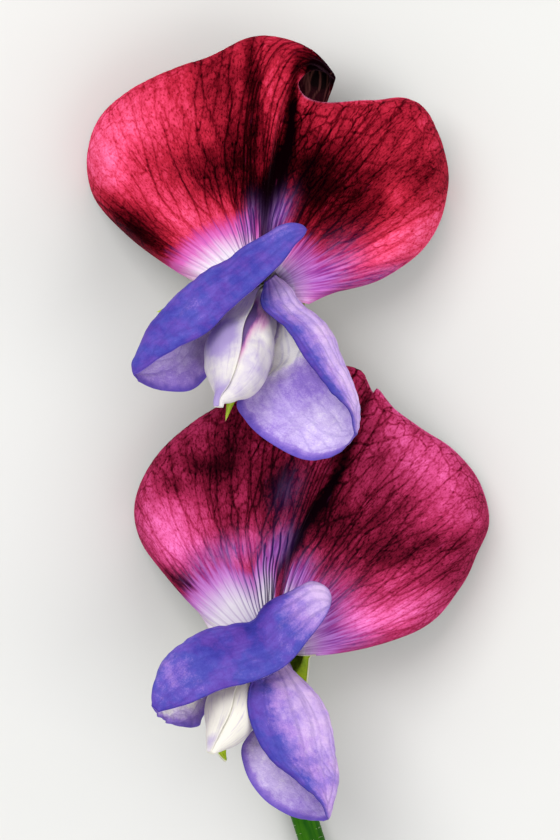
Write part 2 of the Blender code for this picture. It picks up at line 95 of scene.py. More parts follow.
# %% The lines of the upper bloom
UPPER = {
    "name": "upper",
    "throat": (-1.8, 12.8),
    "cup": (3.75, 0.95),
    "rim": [(-7.2, 13.3, 172), (-10.3, 14.9, 169), (-15.3, 18.6, 165), (-18.9, 22.8, 159),
            (-19.3, 27.4, 149), (-17.3, 31.4, 139), (-12.8, 34.3, 128), (-7.3, 36.4, 116),
            (-2.3, 38.5, 106), (1.8, 37.8, 100), (4.5, 35.7, 96), (5.5, 34.3, 93.5),
            (4.5, 34.9, 92), (3.3, 35.1, 91), (2.3, 34.5, 90), (1.8, 33.6, 88.5),
            (2.7, 32.3, 86), (4.9, 31.8, 79), (9.2, 32.1, 68), (13.4, 32.1, 56), (16.0, 28.5, 42),
            (17.0, 23.4, 27), (15.2, 18.2, 13), (10.6, 14.4, 0), (5.4, 12.8, -10),
            (2.8, 11.6, -18)],
    "reflex": [(172, 2.0, 30, 0.4, 12.0), (167, 4.0, 70, 1.5, 6.0), (157, 6.0, 84, 3.0, -0.25),
               (136, 5.0, 95, 2.5, 1.5), (116, 2.2, 165, 2.5, 5.0), (98, 1.7, 185, 3.2, 7.6),
               (93.6, 1.7, 180, 3.0, 7.8), (92.2, 1.2, 60, 0.6, 10.6), (91, 0.8, 30, 0.3, 11.3),
               (86, 0.8, 25, 0.3, 11.4), (79, 2.0, 40, 0.6, 10.4), (68, 3.0, 60, 0.8, 9.0),
               (52, 3.6, 95, 1.5, 5.0), (27, 6.0, 84, 3.0, -0.25), (6, 4.0, 75, 1.5, 4.5),
               (-18, 2.0, 30, 0.4, 12.0)],
    "hook": [(86, 0.0), (88.5, 0.2), (90, 0.8), (91, 1.3), (92, 1.6), (93.5, 2.0), (96, 2.0),
             (100, 1.2), (106, 0.0)],
    "creases": [(88, 5, 1.3), (104, 5, 0.7)],
    "left_wing": {
        "near": [(2.6, 18.7, 16.9), (2.3, 18.2, 17.3), (1.5, 17.4, 18.0), (0.6, 16.1, 18.6),
                 (-1.8, 13.7, 20.0), (-5.2, 10.7, 21.5), (-7.2, 8.7, 22.5), (-10.3, 7.1, 24.0),
                 (-12.2, 5.9, 25.0), (-14.1, 4.6, 25.6)],
        "crest": [(2.65, 18.95, 16.5), (2.3, 19.35, 16.6), (1.6, 19.55, 16.8), (0.8, 19.5, 16.9),
                  (-0.9, 18.9, 17.3), (-3.2, 17.3, 17.8), (-6.6, 15.0, 18.5), (-9.6, 12.9, 19.5),
                  (-12.0, 10.5, 21.0), (-13.5, 7.8, 22.5), (-14.6, 5.3, 24.2), (-14.5, 4.5, 25.2)],
        "far": [(2.4, 18.6, 16.0), (0.6, 16.6, 14.6), (-1.7, 14.0, 12.9), (-2.65, 12.9, 8.9),
                (-5.0, 11.4, 13.3), (-7.0, 7.2, 13.9), (-7.4, 4.3, 15.8), (-8.8, 3.0, 17.5),
                (-11.5, 2.9, 19.5), (-13.6, 3.6, 22.5), (-14.3, 4.3, 24.8)],
    },
    "right_wing": {
        "near": [(-1.6, 13.7, 14.6), (-1.8, 11.3, 17.6), (0.4, 9.3, 19.2), (2.6, 6.0, 21.4),
                 (5.0, 2.9, 23.5), (7.0, 0.5, 25.8), (7.3, -1.3, 26.8)],
        "crest": [(-0.5, 14.5, 13.8), (0.7, 13.3, 14.4), (1.8, 12.0, 15.0), (4.5, 9.3, 16.8),
                  (6.1, 6.2, 19.0), (7.4, 3.1, 21.5), (7.9, -0.4, 24.5), (7.6, -1.4, 26.2)],
        "far": [(-0.3, 12.9, 8.8), (-0.3, 9.6, 13.2), (-0.8, 7.0, 14.6), (-1.2, 4.8, 15.6),
                (-3.9, 2.4, 17.0), (-4.3, 1.6, 17.5), (-3.4, -0.1, 18.4), (-0.3, -2.7, 20.4),
                (3.0, -4.0, 22.6), (6.1, -3.1, 24.8), (7.3, -1.7, 26.2)],
    },
    "keel": [(-1.8, 12.3, 8.8, 1.3, 1.1), (-2.4, 11.3, 12.0, 1.9, 1.6),
             (-3.3, 8.8, 15.8, 2.8, 2.4), (-4.1, 6.7, 19.0, 3.3, 2.8),
             (-4.4, 4.5, 21.5, 2.8, 2.5), (-5.3, 2.6, 23.5, 1.3, 1.0),
             (-6.0, 1.9, 24.3, 0.60, 0.5), (-6.1, 1.3, 24.8, 0.55, 0.4)],
    "teeth": [(-58, 7.0, (0.28, -1.0, 0.36)), (40, 5.5, (0.9, 1.0, -0.12)),
              (120, 5.5, (-0.5, 1.0, -0.12)), (198, 6.6, (-1.0, -0.1, -0.05)),
              (255, 9.9, (-0.29, -1.0, 0.42))],
    "pedicel": [(-1.6, 5.5, 1.35), (-1.5, 10.4, 1.5), (-1.3, 13.0, 2.3), (-1.1, 14.1, 3.8),
                (-1.1, 14.2, 4.5)],
}
print("upper bloom:", len(UPPER["rim"]), "rim places and", len(UPPER["teeth"]), "teeth")

# %% [markdown]
# The lines of the lower bloom
#
# The lower bloom sits 36 mm further down the stem and looks a little more to the left. It could
# be a copy of the upper one, but no two blooms of a stem open alike, and a copy is seen at
# once, so it has its own lines, in the same order.

# %% The lines of the lower bloom
LOWER = {
    "name": "lower",
    "throat": (-0.8, -23.2),
    "cup": (3.3, 2.1),
    "rim": [(-6.4, -22.2, 172), (-8.2, -19.2, 168), (-11.8, -15.1, 161), (-14.1, -12.0, 152),
            (-14.6, -8.0, 142), (-12.6, -3.9, 132), (-8.4, -0.1, 121), (-3.4, 2.6, 110),
            (1.2, 4.4, 101), (5.2, 5.4, 94), (8.0, 4.9, 88), (9.3, 2.8, 84), (9.9, 3.1, 80),
            (11.6, 1.0, 74), (14.4, -0.9, 65), (17.9, -3.4, 52), (20.4, -6.9, 38),
            (21.1, -10.4, 25), (19.8, -13.8, 14), (18.0, -17.3, 4), (14.6, -20.8, -5),
            (9.5, -22.5, -9), (6.4, -22.7, -12), (4.6, -23.3, -14)],
    "reflex": [(172, 2.0, 30, 0.4, 12.0), (165, 4.0, 70, 1.0, 5.0), (148, 5.0, 80, 2.0, 0.3),
               (128, 4.5, 90, 1.5, 2.0), (106, 2.0, 160, 2.0, 6.0), (90, 1.6, 150, 2.0, 7.0),
               (84, 1.6, 40, 0.5, 9.8), (80, 2.0, 60, 0.5, 9.0), (62, 3.0, 80, 1.0, 4.0),
               (30, 6.0, 80, 2.5, 0.3), (4, 5.0, 75, 1.5, 1.5), (-12, 3.0, 60, 1.0, 6.5),
               (-23, 2.0, 30, 0.4, 12.0)],
    "hook": [(0, 0.0)],
    "creases": [(84, 5, 1.5), (107, 6, 0.6)],
    "left_wing": {
        "near": [(5.05, -18.5, 16.3), (4.7, -19.3, 16.8), (2.9, -21.8, 18.0), (0.6, -24.4, 19.2),
                 (-2.4, -25.9, 20.4), (-5.7, -26.7, 21.8), (-9.0, -28.1, 23.2), (-12.0, -28.9, 24.8)],
        "crest": [(5.1, -18.1, 15.6), (4.95, -17.4, 15.7), (4.3, -16.6, 15.8), (3.2, -16.2, 16.0),
                  (0.9, -17.3, 16.5), (-1.4, -18.6, 17.0), (-2.6, -20.0, 17.3), (-4.7, -20.4, 18.0),
                  (-8.4, -21.3, 19.5), (-10.7, -23.1, 21.0), (-12.5, -26.3, 23.0), (-12.7, -28.3, 24.5)],
        "far": [(4.85, -18.3, 15.3), (2.0, -20.4, 13.6), (-0.7, -21.9, 12.7), (-1.8, -23.0, 8.8),
                (-4.1, -24.6, 13.3), (-7.2, -28.0, 14.2), (-8.2, -30.5, 16.2), (-9.8, -30.5, 18.6),
                (-11.3, -29.9, 21.5), (-12.2, -29.0, 24.2)],
    },
    "right_wing": {
        "near": [(-1.0, -23.9, 14.2), (-2.6, -25.4, 17.0), (-3.2, -28.9, 20.4), (-1.4, -33.1, 22.2),
                 (1.8, -35.9, 23.8), (4.2, -38.2, 25.0), (4.6, -39.3, 25.5)],
        "crest": [(-0.2, -23.6, 13.4), (1.3, -25.2, 14.2), (3.1, -26.7, 15.3), (4.7, -29.3, 17.0),
                  (5.5, -33.1, 19.5), (5.4, -38.0, 23.0), (4.8, -39.5, 24.8)],
        "far": [(0.7, -23.2, 8.8), (1.2, -26.6, 13.2), (-0.9, -29.8, 14.4), (-2.7, -31.0, 15.4),
                (-3.8, -32.6, 16.4), (-3.5, -34.8, 17.6), (-1.7, -37.6, 19.5), (1.1, -39.3, 21.5),
                (4.3, -39.7, 24.4)],
    },
    "keel": [(-0.8, -24.4, 8.8, 1.0, 1.0), (-1.7, -25.4, 12.0, 1.3, 1.3),
             (-3.2, -26.9, 14.8, 2.1, 1.9), (-4.7, -28.6, 17.4, 2.6, 2.2),
             (-5.2, -30.4, 19.8, 2.2, 1.8), (-6.3, -32.1, 21.6, 1.1, 0.9),
             (-6.9, -33.0, 22.5, 0.5, 0.5)],
    "teeth": [(-62, 4.2, (0.0, -1.0, 0.3)), (40, 5.5, (0.9, 1.0, -0.12)),
              (118, 5.5, (-0.5, 1.0, -0.12)), (200, 6.0, (-1.0, -0.3, -0.05)),
              (244, 11.0, (-0.75, -0.75, 0.31), (3.34, 0.0, 0.0))],
    "pedicel": [(-0.6, -30.5, 1.4), (0.3, -27.2, 1.9), (0.5, -24.0, 2.5), (0.1, -22.2, 3.6),
                (-0.1, -21.8, 4.5)],
}
print("lower bloom:", len(LOWER["rim"]), "rim places and", len(LOWER["teeth"]), "teeth")

# %% [markdown]
# Camera
#
# The photograph looks at the faces of the blooms from far off with a long lens, and shows 84 mm
# of the stem from top to bottom. The stem lies on its back, so the camera looks straight down.
# A short lens close by could frame the same height, but it would swell the wings, which stand
# nearest to it. The picture is 560 by 840 pixels, and ten pixels are one millimetre of the plan.

# %% Camera
VIEW_HEIGHT = 0.084
CAMERA_RANGE = 1.1
FOCUS_HEIGHT = 0.013  # the height at which the view is 84 mm tall
SENSOR_HEIGHT = 24.0

view_middle = to_model((0.0, 0.0, 0.0))
lens = bpy.data.cameras.new("camera")
lens.sensor_fit = "VERTICAL"
lens.sensor_height = SENSOR_HEIGHT
lens.lens = SENSOR_HEIGHT * CAMERA_RANGE / VIEW_HEIGHT
camera = bpy.data.objects.new("camera", lens)
camera.location = (view_middle[0], view_middle[1], FOCUS_HEIGHT + CAMERA_RANGE)
bpy.context.collection.objects.link(camera)
bpy.context.scene.camera = camera
print("lens", round(lens.lens), "mm at", CAMERA_RANGE, "m")

# %% [markdown]
# Light
#
# Petals look velvety under wide, soft lamps. A single lamp would leave hard shadows, so a big
# soft key lamp stands at the upper left, a weaker one fills in from the right, and the sky adds
# a little light from all round.

# %% Light
WORLD_LIGHT = 0.76
LAMPS = [  # name, place, width, watts
    ("key_lamp", (-0.32, 0.34, 0.85), 0.50, 4.5),
    ("fill_lamp", (0.45, -0.30, 0.70), 0.60, 2.4),
    ("back_lamp", (0.10, 0.80, 0.35), 0.40, 1.6),
]

for name, place, width, watts in LAMPS:
    lamp = bpy.data.lights.new(name, "AREA")
    lamp.size = width
    lamp.energy = watts
    lamp_object = bpy.data.objects.new(name, lamp)
    lamp_object.location = place
    lamp_object.rotation_euler = (-Vector(place)).to_track_quat("-Z", "Y").to_euler()
    bpy.context.collection.objects.link(lamp_object)

sky = bpy.data.worlds.new("sky")
sky.use_nodes = True
sky.node_tree.nodes["Background"].inputs["Color"].default_value = (1.0, 1.0, 1.0, 1.0)
sky.node_tree.nodes["Background"].inputs["Strength"].default_value = WORLD_LIGHT
bpy.context.scene.world = sky
bpy.context.scene.view_settings.view_transform = "Standard"
print("lamps:", len(LAMPS))

# %% [markdown]
# Arithmetic for finishes
#
# A finish is a web of nodes. Wiring every node by hand hides the idea, so one small class
# stands for a socket and lets ordinary arithmetic add the nodes.


# %% Arithmetic for finishes
class Amount:
    """A value that changes over a surface: a socket on which + - * add Math nodes."""

    def __init__(self, finish, socket):
        self.finish, self.socket = finish, socket

    def _math(self, operation, first, second):
        return self.finish.node("ShaderNodeMath", {"operation": operation}, {0: first, 1: second})

    def __add__(self, other):
        return self._math("ADD", self, other)

    def __mul__(self, other):
        return self._math("MULTIPLY", self, other)

    def __sub__(self, other):
        return self._math("SUBTRACT", self, other)

    def __rsub__(self, other):
        return self._math("SUBTRACT", other, self)

    __radd__ = __add__
    __rmul__ = __mul__

    def rise(self, start, end):
        """0 up to start and 1 from end on, with a soft step between."""
        return self.finish.node("ShaderNodeMapRange", {"interpolation_type": "SMOOTHSTEP"},
                                {0: self, 1: start, 2: end})


def colour(red, green, blue):
    """A screen colour, each part from 0 to 255, as the light values that a node wants."""
    parts = [part / 255 for part in (red, green, blue)]
    return (*[p / 12.92 if p <= 0.04045 else ((p + 0.055) / 1.055) ** 2.4 for p in parts], 1.0)


print("white as light values:", colour(255, 255, 255))

# %% [markdown]
# A finish in the making
#
# Every petal needs the same few things: painted values, soft noise, streaks along it, a net of
# cells, and blends of colours. They could be wired anew for each petal, so that each finish
# stands alone, but a short name for each of them makes a finish read like a recipe.

# %% A finish in the making
NET_NOISE = 1.5  # how wide the noise is that bends the net, in cells
NET_SWAY = 4.0  # how far it bends it, in cells


class Finish:
    """A material while it is being made. Its sizes are in millimetres."""

    def __init__(self, name, **constants):
        self.material = bpy.data.materials.new(name)
        self.material.use_nodes = True
        self.tree = self.material.node_tree
        self.shader = self.tree.nodes["Principled BSDF"]
        for socket, value in constants.items():
            self.shader.inputs[socket.replace("_", " ")].default_value = value
        self.place = self.node("ShaderNodeTexCoord", out="Object")

    def node(self, kind, settings=None, sockets=None, out=0):
        """Adds a node: its settings first, then what goes into its sockets."""
        node = self.tree.nodes.new(kind)
        for key, value in (settings or {}).items():
            if key == "stops":
                self._set_stops(node.color_ramp, value)
            else:
                setattr(node, key, value)
        for key, value in (sockets or {}).items():
            if isinstance(value, Amount):
                self.tree.links.new(value.socket, node.inputs[key])
            else:
                node.inputs[key].default_value = value
        return Amount(self, node.outputs[out])

    def _set_stops(self, ramp, stops):
        while len(ramp.elements) < len(stops):
            ramp.elements.new(1.0)
        for element, (position, shade) in zip(ramp.elements, stops):
            element.position, element.color = position, shade

    def field(self, name):
        """A value that was painted on the mesh."""
        return self.node("ShaderNodeAttribute", {"attribute_name": name}, out="Fac")

    def _painted_place(self, across, stretch):
        """A place on the flattened petal, for patterns that follow it."""
        return self.node("ShaderNodeCombineXYZ", None, {0: across, 1: self.field("along") * stretch})

    def noise(self, size, detail=2.0, rough=0.5):
        """Cloudy noise whose blobs are about that wide, from 0 to 1."""
        return self.node("ShaderNodeTexNoise", None, {
            "Vector": self.place, "Scale": 1 / (size * MM), "Detail": detail, "Roughness": rough})

    def streaks(self, size, stretch):
        """Noise drawn out along a piece, over its painted fields across and along."""
        place = self._painted_place(self.field("across"), stretch)
        return self.node("ShaderNodeTexNoise", None, {
            "Vector": place, "Scale": 1 / size, "Detail": 3.0, "Roughness": 0.6})

    def net(self, size, stretch, sway):
        """Distance to the borders of long cells, over the painted fields: 0 on a border."""
        across = self.field("across") + (self.noise(size * NET_NOISE) - 0.5) * (sway * size * NET_SWAY)
        place = self._painted_place(across, stretch)
        kind = {"feature": "DISTANCE_TO_EDGE", "voronoi_dimensions": "2D"}
        return self.node("ShaderNodeTexVoronoi", kind, {"Vector": place, "Scale": 1 / size})

    def cells(self, size):
        """Distance to the nearest of scattered spots that lie about that far apart."""
        return self.node("ShaderNodeTexVoronoi", None, {"Vector": self.place, "Scale": 1 / (size * MM)})

    def mix(self, share, first, second):
        """A blend of two colours: the first at share 0, the second at share 1."""
        return self.node("ShaderNodeMix", {"data_type": "RGBA"}, {0: share, 6: first, 7: second}, out=2)

    def ramp(self, amount, stops):
        """A colour for each amount, read off a row of stops."""
        return self.node("ShaderNodeValToRGB", {"stops": stops}, {0: amount})

    def wear(self, shade, roughness=None, relief=None, depth=0.05):
        """Joins the finished values to the shader. Relief is a height of that depth."""
        self.tree.links.new(shade.socket, self.shader.inputs["Base Color"])
        if roughness is not None:
            self.tree.links.new(roughness.socket, self.shader.inputs["Roughness"])
        if relief is not None:
            bump = self.node("ShaderNodeBump", None, {"Height": relief, "Distance": depth * MM})
            self.tree.links.new(bump.socket, self.shader.inputs["Normal"])
        return self.material


print("finishes so far:", len(bpy.data.materials))

# %% [markdown]
# Floor
#
# The stem lies on a plain pale surface. A backdrop that curves up behind it could be added, but
# the camera looks straight down, so one big flat sheet with a faint cloud in its colour is enough.

# %% Floor
FLOOR_WIDTH = 3.0
FLOOR_GAP = 0.02  # below the stem, so that the two never share a plane

form = bmesh.new()
bmesh.ops.create_grid(form, x_segments=1, y_segments=1, size=FLOOR_WIDTH / 2)
bmesh.ops.translate(form, verts=form.verts, vec=(0, 0, -FLOOR_GAP * MM))
floor_mesh = bpy.data.meshes.new("floor")
form.to_mesh(floor_mesh)
form.free()
paper = Finish("floor", Roughness=0.8)
floor_mesh.materials.append(paper.wear(
    paper.mix(paper.noise(40.0), colour(206, 206, 203), colour(212, 212, 210))))
floor = bpy.data.objects.new("floor", floor_mesh)
bpy.context.collection.objects.link(floor)
print("floor", FLOOR_WIDTH, "m wide")

# %% [markdown]
# Smooth lines
#
# A few places are joined by a smooth line that passes through each of them. A curve object
# could do it, but the petals need the places as numbers, so the line is read off by formula.

# %% Smooth lines
FINE_STEPS = 400  # points at which a line is measured


def through(keys, values, at):
    """Reads the smooth line through values at rising keys, at other keys."""
    keys = np.asarray(keys, float)
    values = np.asarray(values, float)
    slopes = np.gradient(values, keys, axis=0)
    i = np.clip(np.searchsorted(keys, at, side="right") - 1, 0, len(keys) - 2)
    width = keys[i + 1] - keys[i]
    t = (at - keys[i]) / width
    if values.ndim == 2:
        width, t = width[:, None], t[:, None]
    smooth = t * t * (3 - 2 * t)
    return (values[i] * (1 - smooth) + values[i + 1] * smooth
            + width * (slopes[i] * t * (1 - t) ** 2 - slopes[i + 1] * t * t * (1 - t)))


def lengths_along(points):
    """How far along a line each of its points lies."""
    return np.concatenate([[0], np.cumsum(np.linalg.norm(np.diff(points[:, :3], axis=0), axis=1))])


def line_through(points, count):
    """Evenly spaced points along the smooth line through a few given ones."""
    points = np.asarray(points, float)
    chords = lengths_along(points)
    stations = np.linspace(0, chords[-1], FINE_STEPS)
    run = lengths_along(through(chords, points, stations))
    return through(chords, points, np.interp(np.linspace(0, run[-1], count), run, stations))


upper_middle = line_through(UPPER["keel"], 50)
print("the upper keel's middle line is", round(lengths_along(upper_middle)[-1], 1), "mm long")

# %% [markdown]
# Directions and waves
#
# A sheet is bent by moving its places along directions: across a line, or square to a grid. No
# petal is quite even either, so soft waves go over it. A displacement texture would give waves
# too, but its bumps are hard to fade out at a rim, so a few sines of mixed lengths are summed.


# %% Directions and waves
def unit(vectors):
    """The same directions, one long."""
    return vectors / np.maximum(np.linalg.norm(vectors, axis=-1, keepdims=True), 1e-9)


def directions(line):
    """For each point of a line, the unit directions across it: one near +X, and one that, on the
    lines that lean out of a throat, points to the side that faces the standard."""
    along = unit(np.gradient(line, axis=0))
    side = unit(np.array([1.0, 0.0, 0.0]) - along * along[:, :1])
    return side, np.cross(along, side)


def run_of(places, axis):
    """How far each place of a grid lies along its row or column, in millimetres."""
    steps = np.linalg.norm(np.diff(places, axis=axis), axis=2)
    shape = (1, steps.shape[1]) if axis == 0 else (steps.shape[0], 1)
    return np.concatenate([np.zeros(shape), np.cumsum(steps, axis=axis)], axis=axis)


def normals_of(places):
    """Unit directions square to a grid of places."""
    return unit(np.cross(np.gradient(places, axis=0), np.gradient(places, axis=1)))


def ripples(places, size, seed, count=14):
    """Soft irregular waves about that wide over a grid of places, from about -1 to 1."""
    random = np.random.default_rng(seed)
    total = np.zeros(places.shape[:-1])
    for _ in range(count):
        lean = unit(random.normal(size=3))
        wave = 2 * math.pi / (size * random.uniform(0.7, 1.6))
        total += np.sin(places @ lean * wave + random.uniform(0, 2 * math.pi))
    return total / math.sqrt(count)


print("a wave over the keel's line:", np.round(ripples(upper_middle[::10, :3], 5.0, 1), 2))

# %% [markdown]
# A grid laid in place
#
# Every thin or round piece starts as a flat grid. Its corners could be worked out and joined to
# faces by hand, but the grid operator already does the joining, so only the corners are moved.
# Values that a finish reads later, such as how near a vein is, are painted on them at once.

# %% A grid laid in place
SEAM_MERGE = 0.000002  # metres, for the edges of a grid that meet


def lay_grid(form, places, fields=None, wrapped=False):
    """Lays a grid along plan places. Fields are values painted on its corners."""
    columns, rows = places.shape[:2]
    at = to_model(places)
    fields = fields or {}
    layers = {field: form.verts.layers.float.get(field) or form.verts.layers.float.new(field)
              for field in fields}
    grid = bmesh.ops.create_grid(form, x_segments=columns - 1, y_segments=rows - 1, size=1.0)
    for vert in grid["verts"]:
        column = round((vert.co.x + 1) / 2 * (columns - 1))
        row = round((vert.co.y + 1) / 2 * (rows - 1))
        vert.co = at[column, row]
        for field, layer in layers.items():
            vert[layer] = fields[field][column, row]
    if wrapped:
        bmesh.ops.remove_doubles(form, verts=grid["verts"], dist=SEAM_MERGE)


def make_piece(name, form, finishes):
    """Turns what was modelled into an object with its finishes."""
    mesh = bpy.data.meshes.new(name)
    form.to_mesh(mesh)
    form.free()
    for finish in finishes:
        mesh.materials.append(finish)
    mesh.shade_smooth()
    piece = bpy.data.objects.new(name, mesh)
    bpy.context.collection.objects.link(piece)
    return piece


def hand_over(piece, slot, *nodes):
    """The piece rides on the model and stands for those nodes. The slot is not used."""
    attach(piece, "root")
    if nodes:
        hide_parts(*nodes)
    print(piece.name, "has", len(piece.data.polygons), "faces")


print("edges that meet are joined within", SEAM_MERGE / MM, "mm")

# %% [markdown]
# Thin sheets
#
# A petal is a sheet about a quarter of a millimetre thick, thinner still at its rim. It could
# be modelled as a thin box, but it is easier to let Solidify give the laid grid its wall and its
# two faces their own finish.

# %% Thin sheets
RIM_WALL = 0.35  # share of the wall that is left at a free rim
RIM_TAPER = 2.0  # millimetres from the rim over which the wall grows to its full thickness


def read_field(mesh, name):
    """The values that were painted on a mesh, one for each corner."""
    values = np.zeros(len(mesh.vertices), np.float32)
    mesh.attributes[name].data.foreach_get("value", values)
    return values.astype(float)


def rim_distance(places):
    """How far each place of a grid lies from the grid's nearest free edge."""
    along, across = run_of(places, 1), run_of(places, 0)
    return np.minimum(np.minimum(along, along[:, -1:] - along), np.minimum(across, across[-1:] - across))


def sheet(name, places, finishes, wall, fields, rim=None, wrapped=False):
    """A thin wall along a grid of plan places, with a finish for each of its two faces."""
    if rim is not None:
        fields = {**fields, "rim": rim}
    form = bmesh.new()
    lay_grid(form, places, fields, wrapped)
    piece = make_piece(name, form, finishes)
    solidify = piece.modifiers.new("wall", "SOLIDIFY")
    solidify.thickness = wall * MM
    solidify.offset = 0.0
    solidify.use_even_offset = False
    solidify.material_offset = len(finishes) - 1
    if rim is not None:
        group = piece.vertex_groups.new(name="wall")
        shares = RIM_WALL + (1 - RIM_WALL) * np.clip(read_field(piece.data, "rim") / RIM_TAPER, 0, 1)
        for index, share in enumerate(shares):
            group.add([index], share, "REPLACE")
        solidify.vertex_group = "wall"
    return piece


print("a free rim keeps", RIM_WALL, "of its wall")

# %% [markdown]
# One growing vein
#
# Veins run out of a petal's claw, wander, fork where they leave a wide gap, and join again
# where they meet, so that they close long pointed cells. A noise texture gives spots and not
# veins, and drawing hundreds of veins by hand would be dull, so they are grown: each vein
# walks outwards along the petal's own grid, one row at a time.

# %% One growing vein
SETTLE = 0.55  # how fast a slope to the side settles, per millimetre
WANDER = 0.12  # how much the slope changes by chance
THINNING = 0.010  # of a vein's width, per millimetre


class Vein:
    """One vein while it grows: its lane, its slope to the side, and its half width."""

    def __init__(self, lane, row, slope, half, bridge=False):
        self.lane, self.slope, self.half, self.bridge = lane, slope, half, bridge
        self.age, self.closing = 0.0, False
        self.track = [(lane, row, half)]


def walk(vein, row, step, width, aim, wander, random):
    """One step outwards along the grid."""
    if not (vein.bridge or vein.closing):
        vein.slope += (aim - vein.slope) * SETTLE * step + random.normal() * wander * math.sqrt(step)
    vein.lane += vein.slope * step / width
    vein.age += step
    vein.half *= 1 - THINNING * step
    vein.track.append((vein.lane, row, vein.half))


print("a vein loses", THINNING * 100, "percent of its width in a millimetre")

# %% [markdown]
# Veins that fork and join
#
# On the real petal a vein forks where the gap to its neighbour grows too wide, two that meet go
# on as one, short bridges cross between them, and near the rim they turn to each other in small
# loops. Those four rules are followed row by row. A grown petal could be drawn once and kept,
# but the rules give each petal its own veins from a seed.

# %% Veins that fork and join
VEIN_MEET = 0.14  # millimetres apart at which two veins join
VEIN_YOUNG = 1.1  # a vein this short doesn't join again yet
BRIDGE_YOUNG = 0.3
FORK_SLOPE = 0.50
FORK_RECOIL = 0.3  # share of that slope by which the parent leans away
FORK_WIDTH = 0.86  # of the parent's width
JOIN_SLOPE = 0.62
BRIDGE_SLOPE = 1.1
BRIDGE_WIDTH = 0.75
BRIDGE_GAP = 1.8  # the widest gap that is bridged, in wanted gaps
FORKS, JOINS, BRIDGES = 1.3, 0.10, 0.12  # how often, per millimetre
CALM = (7.0, 15.0)  # veins run straight up to the first distance, and are lively from the second
CALM_SHARE = 0.25  # of their liveliness, that calm veins have
NET_FROM = 12.0  # joins and bridges begin this far out
LAST_LOOP = 2.0  # from the rim, where veins turn to a neighbour
LOOP_REACH = 2.2  # how far the neighbours run on until they meet
BARE_RIM = 0.55


def grow_veins(places, starts, spacing, half, seed, sweep=None):
    """Veins along axis 1 of a grid, from the given lanes. Spacing is for the start and the rim,
    and sweep gives the slope to the side that veins settle to in each lane."""
    random = np.random.default_rng(seed)
    lanes, rows = places.shape[:2]
    widths = np.linalg.norm(np.diff(places, axis=0), axis=2)
    run = run_of(places, 1)
    sweep = np.zeros(lanes) if sweep is None else sweep
    half = np.broadcast_to(half, lanes)
    veins = [Vein(lane, 0, 0.0, half[int(lane)]) for lane in starts]
    done = []
    for row in range(1, rows):
        lively = np.interp(run[:, row], CALM, [CALM_SHARE, 1.0])
        for vein in veins:
            i = int(np.clip(vein.lane, 0, lanes - 2))
            walk(vein, row, run[i, row] - run[i, row - 1], max(widths[i, row], 0.02), sweep[i] * lively[i],
                 WANDER * lively[i], random)
        veins.sort(key=lambda vein: vein.lane)
        ended = set()
        for a, b in zip(list(veins), list(veins)[1:]):
            i = int(np.clip(a.lane, 0, lanes - 2))
            gap, left = (b.lane - a.lane) * widths[i, row], run[i, -1] - run[i, row]
            step = run[i, row] - run[i, row - 1]
            wanted = np.interp(run[i, row] / run[i, -1], [0, 1], spacing)
            young = BRIDGE_YOUNG if a.bridge or b.bridge else VEIN_YOUNG
            if gap < VEIN_MEET and min(a.age, b.age) > young:
                thin, thick = (a, b) if (a.bridge, b.half) > (b.bridge, a.half) else (b, a)
                thin.track.append((thick.lane, row, thin.half))
                ended.add(thin)
            elif left < LAST_LOOP and not (a.closing or b.closing):
                a.closing = b.closing = True
                a.slope, b.slope = gap / LOOP_REACH, -gap / LOOP_REACH
            elif left > LAST_LOOP and random.random() < FORKS * step * np.clip(gap / wanted - 1, 0, 1):
                parent, way = (a, 1) if a.age > b.age else (b, -1)
                if not parent.bridge:
                    slope = way * FORK_SLOPE * lively[i]
                    veins.append(Vein(parent.lane, row, slope, parent.half * FORK_WIDTH))
                    parent.slope -= slope * FORK_RECOIL
                    parent.age = 0.0
            elif run[i, row] > NET_FROM and left > LAST_LOOP and gap < BRIDGE_GAP * wanted:
                draw = random.random() / step
                if draw < JOINS:
                    a.slope, b.slope = JOIN_SLOPE, -JOIN_SLOPE
                elif draw < JOINS + BRIDGES and not (a.bridge or b.bridge):
                    parent, way = (a, 1) if random.random() < 0.5 else (b, -1)
                    slope, width = way * BRIDGE_SLOPE, parent.half * BRIDGE_WIDTH
                    veins.append(Vein(parent.lane, row, slope, width, bridge=True))
        for vein in veins:
            i = int(np.clip(vein.lane, 0, lanes - 2))
            if not 0.5 < vein.lane < lanes - 1.5 or run[i, -1] - run[i, row] < BARE_RIM:
                ended.add(vein)
        done += [vein for vein in veins if vein in ended]
        veins = [vein for vein in veins if vein not in ended]
    return [vein.track for vein in done + veins]


print("two veins join when they are", VEIN_MEET, "mm apart")

# %% [markdown]
# Painted veins
#
# The veins are lines on the petal's grid. They could be cut into the mesh as edges, but a finish
# only has to know how far away the nearest one is, so that distance is painted on the corners:
# once sharply for the vein itself, and once widely for the petal beside it.

# %% Painted veins
PAINTED_HALF = 0.16  # millimetres, the least half width that a vein is painted with
VEIN_HALO = 0.65
NEAR_VEINS = 3  # how many vein points each corner looks at


def read_grid(places, lanes, rows):
    """Places between the corners of a grid."""
    lanes = np.clip(lanes, 0, places.shape[0] - 1.001)
    rows = np.clip(rows, 0, places.shape[1] - 1.001)
    i, j = lanes.astype(int), rows.astype(int)
    s, t = (lanes - i)[:, None], (rows - j)[:, None]
    return ((places[i, j] * (1 - s) + places[i + 1, j] * s) * (1 - t)
            + (places[i, j + 1] * (1 - s) + places[i + 1, j + 1] * s) * t)


